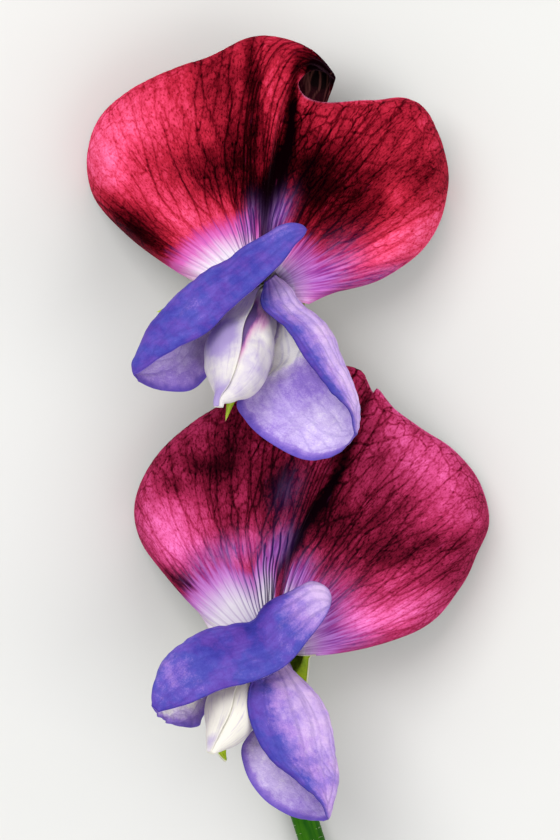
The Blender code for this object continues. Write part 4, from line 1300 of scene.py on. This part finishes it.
# %% The keel's shape
KEEL_LAP = 7.0  # degrees by which each lip runs past the middle
LIP_WIDTH = 26.0  # degrees over which a lip leaves the round
LIP_OUT = 0.34  # how far the lapping lip stands out
LIP_IN = 0.16  # how far the other one is tucked in
LIP_FULL = 1.5  # half width of the keel from which its lips are full
KEEL_POINT = [(0.0, 1.0, 1.0), (0.86, 1.0, 1.0), (0.95, 0.9, 0.7), (1.0, 0.8, 0.12)]  # along, shares


def keel_places(line, columns, rows):
    """The boat-shaped pair of joined petals, closed by one lip that laps over the other."""
    line = line_through(line, rows)
    along, *shares = np.transpose(KEEL_POINT)
    line[:, 3:] *= np.transpose([np.interp(np.linspace(0, 1, rows), along, share) for share in shares])
    side, up = directions(line[:, :3])
    lap, lip = math.radians(KEEL_LAP), math.radians(LIP_WIDTH)
    angles = np.linspace(-lap, 2 * math.pi + lap, columns)[:, None, None]
    first = np.clip(1 - (angles + lap) / lip, 0, 1) ** 2
    last = np.clip(1 - (2 * math.pi + lap - angles) / lip, 0, 1) ** 2
    wide, tall = line[:, 3:4], line[:, 4:5]
    out = (LIP_OUT * last - LIP_IN * first) * np.clip(wide / LIP_FULL, 0, 1)
    return line[:, :3] + (np.sin(angles) * side * (wide + out) + np.cos(angles) * up * (tall + out))


print("a keel's lip laps over by", LIP_OUT + LIP_IN, "mm")

# %% [markdown]
# The keel's finish
#
# The keel is creamy white with lilac clouds, fine lengthwise veins, and purple streaks by the
# seam; on the upper keel the lilac wash is partly painted shade under the wing's hood. Grown
# veins as on the wings would be too crisp here, so drawn-out noise stands for them.


# %% The keel's finish
def keel_finish(name, inner):
    """Creamy white with lilac clouds, partly painted shade, and greener inside."""
    finish = Finish(name, Specular_IOR_Level=0.2)
    grain, cloud = finish.noise(0.2, 3.0, 0.7), finish.noise(1.5, 3.0, 0.6)
    streak, line = finish.streaks(0.4, 0.10), finish.streaks(0.22, 0.05)
    stain = finish.field("stain") * (0.5 + streak)
    lilac = (finish.field("lilac") + (cloud - 0.5) * 0.6).rise(0.2, 0.9)
    skin = finish.mix(lilac, colour(222, 218, 208), colour(160, 142, 192))
    skin = finish.mix(line.rise(0.52, 0.68) * cloud * 0.7, skin, colour(150, 130, 180))
    purple = finish.mix(stain.rise(0.45, 0.85), colour(190, 100, 168), colour(70, 24, 110))
    skin = finish.mix(stain.rise(0.15, 0.7) * 0.92, skin, purple)
    if inner:
        skin = finish.mix(0.35, skin, colour(222, 222, 196))
    relief = grain * 0.3 + streak * 0.5 - line * 0.6
    return finish.wear(skin, grain.rise(0.2, 0.8) * 0.2 + 0.4, relief, 0.07)


keel_outer, keel_inner = keel_finish("keel_outer", False), keel_finish("keel_inner", True)
print("a keel has two finishes:", keel_outer.name, "and", keel_inner.name)

# %% [markdown]
# Both keels
#
# The upper keel has a purple streak down its seam and lilac shoulders, the lower one is almost
# white. Each keel could have finishes of its own, but spots by shares of a keel let both share
# the same two: (round it, from base to tip, half widths, strength). The sheet's first face is the
# inner one here.

# %% Both keels
KEEL_STAINS = {
    "upper": [(0.04, 0.50, 0.032, 0.22, 1.4), (0.11, 0.42, 0.06, 0.16, 0.62), (0.97, 0.46, 0.03, 0.10, 0.3)],
    "lower": [(0.02, 0.45, 0.02, 0.08, 0.4)],
}
KEEL_LILACS = {
    # The first upper spot is a lilac wash over the whole keel: partly tint, partly painted shade.
    "upper": [(0.5, 0.5, 3.0, 3.0, 0.38), (0.89, 0.62, 0.09, 0.12, 0.8), (0.9, 0.98, 0.15, 0.09, 0.8),
              (0.16, 0.75, 0.1, 0.2, 0.2)],
    "lower": [(0.85, 0.6, 0.08, 0.15, 0.5), (0.9, 0.95, 0.15, 0.08, 0.6)],
}
KEEL_COLUMNS = 140
KEEL_ROWS = 120
KEEL_WALL = 0.26
KEEL_GIRTH = 15.0  # millimetres round it, about
KEEL_WAVE = 0.07
KEEL_WAVE_SIZE = 2.6
KEEL_WAVE_MARGIN = 1.5  # millimetres from the rim at which the waves are full


def build_keel(bloom, seed):
    """One keel with its streaks and clouds."""
    name = bloom["name"]
    places = keel_places(bloom["keel"], KEEL_COLUMNS, KEEL_ROWS)
    edge = rim_distance(places)
    shape = places.shape[:2]
    fields = {
        "along": run_of(places, 1),
        "across": KEEL_GIRTH * np.linspace(0, 1, KEEL_COLUMNS)[:, None] * np.ones(KEEL_ROWS),
        "stain": grid_spots(shape, KEEL_STAINS[name]), "lilac": grid_spots(shape, KEEL_LILACS[name]),
    }
    waves = KEEL_WAVE * ripples(places, KEEL_WAVE_SIZE, seed) * np.clip(edge / KEEL_WAVE_MARGIN, 0, 1)
    places += normals_of(places) * waves[..., None]
    piece = sheet(f"keel_petals_{name}", places, [keel_inner, keel_outer], KEEL_WALL, fields, rim=edge)
    hand_over(piece, "keel", f"keel_{name}")


build_keel(UPPER, 41)
build_keel(LOWER, 42)

# %% [markdown]
# Rods
#
# Stalks, filaments and the young pod are rods: rings of points along a line, drawn together to
# a point at both ends. A curve with a bevel would do for round ones, but the rings can also be
# flattened, ribbed and painted.


# %% Rods
def rod_places(line, sides, flat=1.0, ribs=0, rib_height=0.0):
    """A grid round a line of (x, y, z, radius), closed at both ends. Flat squeezes it."""
    line = np.asarray(line, float)
    side, up = directions(line[:, :3])
    angles = np.linspace(0, 2 * math.pi, sides + 1)
    swell = 1 + rib_height * (np.cos(ribs * angles) - 1)
    ring = ((np.cos(angles) * swell)[:, None, None] * side * flat
            + (np.sin(angles) * swell)[:, None, None] * up)
    places = line[:, :3] + ring * line[:, 3:4]
    ends = np.repeat(line[[0, -1], :3][None], sides + 1, axis=0)
    places = np.concatenate([ends[:, :1], places, ends[:, 1:]], axis=1)
    places[-1] = places[0]
    return places


def plain_fields(places, **values):
    """The same values painted all over a grid."""
    return {name: np.full(places.shape[:2], float(value)) for name, value in values.items()}


short_rod = rod_places([(0, 0, 0, 1), (0, 1, 0, 1), (0, 2, 0, 1)], 12)
print("a rod of 12 sides and 3 rings is laid on", short_rod.shape[:2], "corners")

# %% [markdown]
# The green cup
#
# The calyx is a bell of five joined leaves that end in long teeth. A cup with five cones would
# show seams, so it is one sheet whose columns run from the base up the bell and out along the
# teeth, where they draw together to a point.

# %% The green cup's shape
MOUTH_HEIGHT = 10.5  # from the surface up to the cup's mouth
CALYX_LEAN = (0.7, 1.4, -5.3)  # from the middle of the mouth to the base
TUBE_SHARE = 0.55  # share of the rows that is the bell
TUBE_RISE = 1.3  # how late the bell rises
BELL_SPREAD = 1.25  # how early the bell reaches its full width
BELL_ROUND = 0.8
TOOTH_FLARE = 0.5
BEND_LENGTH = 10.0  # millimetres along a tooth at which its bend is given


def calyx_column(base, mouth, radius, angle, lean, bend, tooth, rows):
    """One line of the calyx from its base up the bell, then out along a tooth."""
    ring = np.array([math.cos(angle), math.sin(angle), 0.0])
    column = []
    for v in np.linspace(0, 1, rows):
        rise = min(v / TUBE_SHARE, 1.0)
        bell = radius * math.sin(min(rise * BELL_SPREAD, 1.0) * math.pi / 2) ** BELL_ROUND
        beyond = max(0.0, (v - TUBE_SHARE) / (1 - TUBE_SHARE))
        place = base + (mouth - base) * rise ** TUBE_RISE + ring * (bell + TOOTH_FLARE * beyond)
        column.append(place + lean * tooth * beyond + bend * (tooth * beyond / BEND_LENGTH) ** 3)
    return column


def calyx_places(bloom, columns_per_tooth, rows):
    """The green cup, and how near each column lies to the middle of its tooth."""
    mouth = np.array([*bloom["throat"], MOUTH_HEIGHT])
    base = mouth + CALYX_LEAN
    teeth = bloom["teeth"]
    radius, fullness = bloom["cup"]
    places, middles = [], []
    for k, (heading, length, lean, *bend) in enumerate(teeth):
        before = teeth[k - 1][0] - (360 if k == 0 else 0)
        after = teeth[(k + 1) % len(teeth)][0] + (360 if k == len(teeth) - 1 else 0)
        lean = unit(np.array(lean))
        bend = np.array(bend[0] if bend else (0.0, 0.0, 0.0))
        for share in np.linspace(-1, 1, columns_per_tooth, endpoint=False):
            half_way = ((before if share < 0 else after) - heading) / 2
            angle = math.radians(heading + abs(share) * half_way)
            tooth = length * (1 - abs(share) ** fullness)
            places.append(calyx_column(base, mouth, radius, angle, lean, bend, tooth, rows))
            middles.append(1 - abs(share))
    return np.array(places + places[:1]), np.array(middles + middles[:1])


print("the upper cup has", len(calyx_places(UPPER, 10, 8)[0]) - 1, "columns when each tooth has 10")

# %% [markdown]
# Greens
#
# The cup, the pod and the stalks are fresh green tissue. A flat green would look like plastic,
# so two greens are blended by a cloudy noise, with a paler rib over them where it is painted.


# %% Greens
def green_finish(name, dark, light, pale):
    """Fresh green tissue, softly clouded, with pale ribs."""
    finish = Finish(name, Specular_IOR_Level=0.4)
    grain, cloud = finish.noise(0.18, 3.0, 0.65), finish.noise(1.4, 3.0, 0.6)
    skin = finish.mix((cloud * 0.7 + grain * 0.3 + finish.field("light")).rise(0.3, 0.75), dark, light)
    skin = finish.mix(finish.field("rib").rise(0.3, 0.95) * 0.45, skin, pale)
    relief = grain * 0.5 + finish.cells(0.2) * 0.5
    return finish.wear(skin, grain.rise(0.2, 0.8) * 0.2 + 0.4, relief, 0.04)


GREENS = {  # dark, light and pale
    "calyx_inside": (colour(176, 178, 132), colour(214, 214, 184), colour(222, 224, 190)),
    "calyx_green": (colour(106, 142, 6), colour(164, 192, 12), colour(198, 212, 84)),
    "pod_green": (colour(120, 150, 62), colour(170, 190, 100), colour(206, 214, 150)),
}
calyx_inside, calyx_green, pod_green = (green_finish(name, *tones) for name, tones in GREENS.items())
print("greens:", *GREENS)

# %% [markdown]
# Hairs
#
# Soft hairs catch the light on the cup and the stalks. Hair curves aren't kept by the export, so
# each hair is a thin three-sided cone that stands out of the sheet and leans along it. They are
# spread by chance, more of them where the grid's cells are bigger.

# %% Hairs
HAIR_RADIUS = 0.022
HAIR_SCATTER = 0.3  # how far hairs turn out of line by chance

hair_white = Finish("hair_white", Roughness=0.4)
hair_white = hair_white.wear(hair_white.mix(hair_white.noise(0.5), colour(214, 222, 176),
                                            colour(238, 240, 220)))


def build_hairs(name, places, count, lengths, seed, lean=0.5):
    """Hairs all over a hollow grid: thin cones that stand out of it and lean along it."""
    random = np.random.default_rng(seed)
    normals = normals_of(places)
    normals *= np.sign(np.sum(normals * (places - places.mean(axis=0)), axis=2).mean())
    along = unit(np.gradient(places, axis=1))
    area = np.linalg.norm(np.cross(np.gradient(places, axis=0), np.gradient(places, axis=1)), axis=2)
    area[:, [0, -1]] = 0
    picks = random.choice(area.size, count, p=(area / area.sum()).ravel())
    form = bmesh.new()
    for pick in picks:
        i, j = np.unravel_index(pick, area.shape)
        way = unit(normals[i, j] + along[i, j] * lean + random.normal(size=3) * HAIR_SCATTER)
        length = random.uniform(*lengths)
        if places[i, j, 2] + way[2] * length < 0.0:
            continue
        middle = to_model(places[i, j] + way * length / 2)
        turn = Vector(way).to_track_quat("Z", "Y").to_matrix().to_4x4()
        bmesh.ops.create_cone(form, cap_ends=True, cap_tris=True, segments=3, radius1=HAIR_RADIUS * MM,
                              radius2=0.0, depth=length * MM, matrix=Matrix.Translation(middle) @ turn)
    bmesh.ops.remove_doubles(form, verts=form.verts, dist=1e-8)
    return make_piece(name, form, [hair_white])


print("a hair is", 2 * HAIR_RADIUS, "mm thick at its root")

# %% [markdown]
# Both green cups
#
# The cup gets its wall and soft waves first, and its hairs after that, so that they stand on the
# finished sheet. The hairs are a piece of their own, because they have another finish and no
# wall. They could be joined to the cup, but then Solidify would thicken them too.

# %% Both green cups
CALYX_WALL = 0.3
CALYX_TOOTH_COLUMNS = 40
CALYX_ROWS = 72
CALYX_WAVE = 0.06
CALYX_WAVE_SIZE = 2.0
CALYX_HAIRS = 900
HAIR_LENGTHS = (0.35, 0.85)


def build_calyx(bloom, seed):
    """One green cup with its hairs."""
    name = bloom["name"]
    places, middles = calyx_places(bloom, CALYX_TOOTH_COLUMNS, CALYX_ROWS)
    down = np.linspace(0, 1, CALYX_ROWS)
    rib = np.exp(-((1 - middles[:, None]) / 0.07) ** 2) * np.ones(CALYX_ROWS)
    light = 0.12 * np.clip((down - TUBE_SHARE) / 0.3, 0, 1) * np.ones((len(middles), 1))
    ends = np.clip(np.minimum(down, 1 - down) / 0.1, 0, 1)
    places += normals_of(places) * (CALYX_WAVE * ripples(places, CALYX_WAVE_SIZE, seed) * ends)[..., None]
    places[-1] = places[0]
    faces = [calyx_inside, calyx_green]
    fields = {"rib": rib, "light": light}
    piece = sheet(f"calyx_cup_{name}", places, faces, CALYX_WALL, fields, wrapped=True)
    hand_over(piece, "calyx", f"calyx_{name}")
    hand_over(build_hairs(f"calyx_hairs_{name}", places, CALYX_HAIRS, HAIR_LENGTHS, seed + 5), "calyx")


build_calyx(UPPER, 51)
build_calyx(LOWER, 52)

# %% [markdown]
# Stamens
#
# Nine filaments are joined into a sheath round the young pod, and a tenth lies free along the
# sheath's slit. Each ends in a small yellow anther. They could be straight rods, but then they
# would break through the curved keel, so they follow its own middle line. Places along that line
# are counted in its steps from the base.

# %% Stamens
MIDDLE_STEPS = 25
SHEATH_OPENING = 55.0  # degrees from the slit to each edge of the sheath
SHEATH_WALL = 0.12
SHEATH_END = 16
SHEATH_SHAPE = [(0, 0.5), (4, 0.75), (8, 1.05), (16, 0.85)]  # step, radius
SHEATH_COLUMNS = 73
SHEATH_ROWS = 50
PLEAT_SHARE = 0.05  # of the sheath's radius
FILAMENTS = 9
FILAMENT_SIDES = 8
FILAMENT_ROWS = 14
ANTHER_SIZE = (0.17, 0.17, 0.36)  # half lengths of an anther

cream = Finish("filament_cream", Roughness=0.5, Specular_IOR_Level=0.4)
cream = cream.wear(cream.mix(cream.noise(0.8, 3.0), colour(214, 220, 176), colour(238, 236, 208)),
                   relief=cream.noise(0.2, 3.0), depth=0.03)
pollen = Finish("anther_yellow", Roughness=0.8)
pollen = pollen.wear(pollen.mix(pollen.cells(0.08), colour(232, 190, 60), colour(196, 140, 30)),
                     relief=pollen.cells(0.08), depth=0.03)


def keel_middle(bloom):
    """The middle line of a bloom's keel, in even steps."""
    return line_through([place[:3] for place in bloom["keel"]], MIDDLE_STEPS)


def lay_sheath(form, line, side, up, angles):
    """The tube of joined filaments, open by a slit."""
    known, rows = np.arange(MIDDLE_STEPS), np.linspace(0, SHEATH_END, SHEATH_ROWS)
    middle, across, over = (through(known, values, rows) for values in (line, side, up))
    radius = np.interp(rows, *np.transpose(SHEATH_SHAPE))[:, None]
    pleat = 1 + PLEAT_SHARE * np.cos(np.linspace(0, 2 * math.pi * (FILAMENTS - 1), SHEATH_COLUMNS))
    spokes = (np.sin(angles) * pleat)[:, None, None] * across + (np.cos(angles) * pleat)[:, None, None] * over
    lay_grid(form, middle + spokes * radius)
    bmesh.ops.solidify(form, geom=form.faces[:], thickness=SHEATH_WALL * MM)


def build_stamens(bloom):
    """The sheath of joined filaments, the free tenth one, and their anthers."""
    line = keel_middle(bloom)
    side, up = directions(line)
    first, last = math.radians(SHEATH_OPENING), math.radians(360 - SHEATH_OPENING)
    angles = np.linspace(first, last, SHEATH_COLUMNS)
    form = bmesh.new()
    lay_sheath(form, line, side, up, angles)
    headings = [*np.linspace(angles[0], angles[-1], FILAMENTS), 0.0]
    for k, angle in enumerate(headings):
        spoke = math.sin(angle) * side + math.cos(angle) * up
        late = k % 2  # every second filament is one step longer
        shape = [(15, 0.85, 0.11), (17, 0.8, 0.10), (18 + late, 0.65, 0.08), (19 + late, 0.6, 0.06)]
        if k == FILAMENTS:
            shape = [(2, 0.45, 0.12), (8, 0.85, 0.12)] + shape[1:]
        filament = [(*(line[step] + spoke[step] * out), thick) for step, out, thick in shape]
        lay_grid(form, rod_places(line_through(filament, FILAMENT_ROWS), FILAMENT_SIDES), wrapped=True)
        way = Vector(line[19 + late] - line[18 + late])
        turn = way.to_track_quat("Z", "Y").to_matrix().to_4x4()
        at = Matrix.Translation(to_model(filament[-1][:3])) @ turn @ Matrix.Diagonal((*ANTHER_SIZE, 1.0))
        anther = bmesh.ops.create_icosphere(form, subdivisions=2, radius=MM, matrix=at)
        for face in {face for vert in anther["verts"] for face in vert.link_faces}:
            face.material_index = 1
    bmesh.ops.recalc_face_normals(form, faces=form.faces)
    piece = make_piece(f"stamen_tube_{bloom['name']}", form, [cream, pollen])
    hand_over(piece, "stamens", f"stamens_{bloom['name']}")


print("a bloom has", FILAMENTS, "joined filaments and a free one")

# %% [markdown]
# Pistil, and both blooms' inner parts
#
# Inside the sheath lies the flat young pod, drawn out into a thin style. It could be left out,
# since the keel hides it, but the part is used in pieces too, and a bloom without its pod would
# be hollow. It is one flattened rod: (step along the keel's middle line, half thickness).

# %% Pistil, and both blooms' inner parts
POD_SHAPE = [(1, 0.16), (3, 0.25), (5, 0.42), (8, 0.55), (11, 0.5), (14, 0.35), (16, 0.22), (18, 0.18),
             (20, 0.18), (22, 0.12)]
POD_FLATNESS = 0.7
POD_ROWS = 60
POD_SIDES = 20


def build_pistil(bloom):
    """The young pod and its style."""
    line = keel_middle(bloom)
    pod = line_through([(*line[step], thick) for step, thick in POD_SHAPE], POD_ROWS)
    places = rod_places(pod, POD_SIDES, flat=POD_FLATNESS)
    form = bmesh.new()
    lay_grid(form, places, plain_fields(places, rib=0.0, light=0.05), wrapped=True)
    bmesh.ops.recalc_face_normals(form, faces=form.faces)
    piece = make_piece(f"young_pod_{bloom['name']}", form, [pod_green])
    hand_over(piece, "pistil", f"pistil_{bloom['name']}")


for flower in (UPPER, LOWER):
    build_stamens(flower)
    build_pistil(flower)

# %% [markdown]
# The stem's finish
#
# The stem is a deeper green than the cups, partly its own colour and partly painted shade,
# streaked along its length, and its cut face shows pale pith. A ring of wood could be drawn on
# the cut, but at this size the pith alone is seen.


# %% The stem's finish
def stem_finish():
    """Fresh green with lengthwise streaks and a pale cut face."""
    finish = Finish("stem_green", Specular_IOR_Level=0.08)
    grain, cloud = finish.noise(0.2, 3.0, 0.65), finish.noise(3.0, 3.0, 0.6)
    streak = finish.streaks(0.5, 0.08)
    # The deep greens are partly the stem's own colour and partly painted shade.
    skin = finish.mix((cloud * 0.4 + streak * 0.6).rise(0.3, 0.7), colour(14, 74, 1), colour(56, 112, 8))
    skin = finish.mix(finish.field("light").rise(0.2, 0.9), skin, colour(132, 160, 60))
    pith = finish.mix(grain, colour(196, 206, 150), colour(226, 230, 190))
    skin = finish.mix(finish.field("cut").rise(0.2, 0.8), skin, pith)
    relief = streak * 0.7 + grain * 0.3
    return finish.wear(skin, grain.rise(0.2, 0.8) * 0.2 + 0.35, relief, 0.05)


stem_green = stem_finish()
print("the stem wears", stem_green.name)

# %% [markdown]
# The stem
#
# The cut stem is a rod with faint lengthwise ridges that rounds off behind the upper bloom, with
# a thin stalk to each bloom. Its end could be capped with one flat face, but a cut end is never
# quite flat, so a few rings lead in to its middle. The stalks start well inside the stem, so no
# gap shows where they leave it.

# %% The stem
STEM_RADIUS = 1.35
PEDICEL_RADIUS = 0.75
STEM_LINE = [(9.2, -94.0), (8.6, -80.0), (7.2, -64.0), (5.3, -50.0), (2.3, -39.7), (-0.2, -32.0),
             (-1.7, -22.0), (-1.9, -10.0), (-1.7, 0.0), (-1.6, 7.6)]
STEM_ROWS = 220
STALK_ROWS = 60
STEM_SIDES = 40
STEM_RIDGES = 5
RIDGE_HEIGHT = 0.025  # share of the radius
STEM_TIP = [(0.0, 1.0), (0.955, 1.0), (0.98, 0.8), (1.0, 0.35)]  # share of its length, share of its width
STALK_FLARE = [(0.0, 1.5), (0.12, 1.15), (0.3, 1.0), (0.85, 1.05), (1.0, 1.7)]
CUT_RINGS = (0.35, 0.7, 0.93)  # shares of the radius on the cut face
CUT_STEP = 0.01  # how far each ring of the cut stands out before the next
STALK_LIGHT = 0.6  # the stalks are paler than the stem
STEM_HAIRS = {"stem": ("hairs_stem", 1500), "upper": ("hairs_upper_stalk", 200),
              "lower": ("hairs_lower_stalk", 160)}
STEM_HAIR_LENGTHS = (0.12, 0.3)


def stem_rod():
    """The stem's line with its radius, from the middle of the cut to the rounded tip."""
    line = line_through([(x, y, STEM_RADIUS, STEM_RADIUS) for x, y in STEM_LINE], STEM_ROWS)
    line[:, 3] *= np.interp(np.linspace(0, 1, STEM_ROWS), *np.transpose(STEM_TIP))
    cut = np.repeat(line[:1], len(CUT_RINGS), axis=0)
    cut[:, 3] *= CUT_RINGS
    cut[:, 1] -= np.arange(len(CUT_RINGS), 0, -1) * CUT_STEP
    return np.concatenate([cut, line])


def stalk_rod(bloom):
    """The line of a bloom's stalk with its radius, from inside the stem to the cup."""
    line = line_through([(*place, PEDICEL_RADIUS) for place in bloom["pedicel"]], STALK_ROWS)
    line[:, 3] *= np.interp(np.linspace(0, 1, STALK_ROWS), *np.transpose(STALK_FLARE))
    return line


def build_stem():
    """The stem and its two stalks as one piece, and their hairs."""
    rods = {"stem": stem_rod(), "upper": stalk_rod(UPPER), "lower": stalk_rod(LOWER)}
    around = np.linspace(0, 2 * math.pi * STEM_RADIUS, STEM_SIDES + 1)[:, None]
    form = bmesh.new()
    grids = {}
    for name, rod in rods.items():
        places = rod_places(rod, STEM_SIDES, 1.0, STEM_RIDGES, RIDGE_HEIGHT)
        fields = plain_fields(places, light=0.0 if name == "stem" else STALK_LIGHT, cut=0.0)
        if name == "stem":
            fields["cut"][:, :len(CUT_RINGS) + 1] = 1.0
        fields["along"] = run_of(places, 1)
        fields["across"] = np.broadcast_to(around, places.shape[:2])
        lay_grid(form, places, fields, wrapped=True)
        grids[name] = places[:, 6:-2]
    bmesh.ops.recalc_face_normals(form, faces=form.faces)
    hand_over(make_piece("cut_stem", form, [stem_green]), "stem", "stem")
    for name, places in grids.items():
        hair_name, count = STEM_HAIRS[name]
        hand_over(build_hairs(hair_name, places, count, STEM_HAIR_LENGTHS, 61, 0.3), "stem")


build_stem()
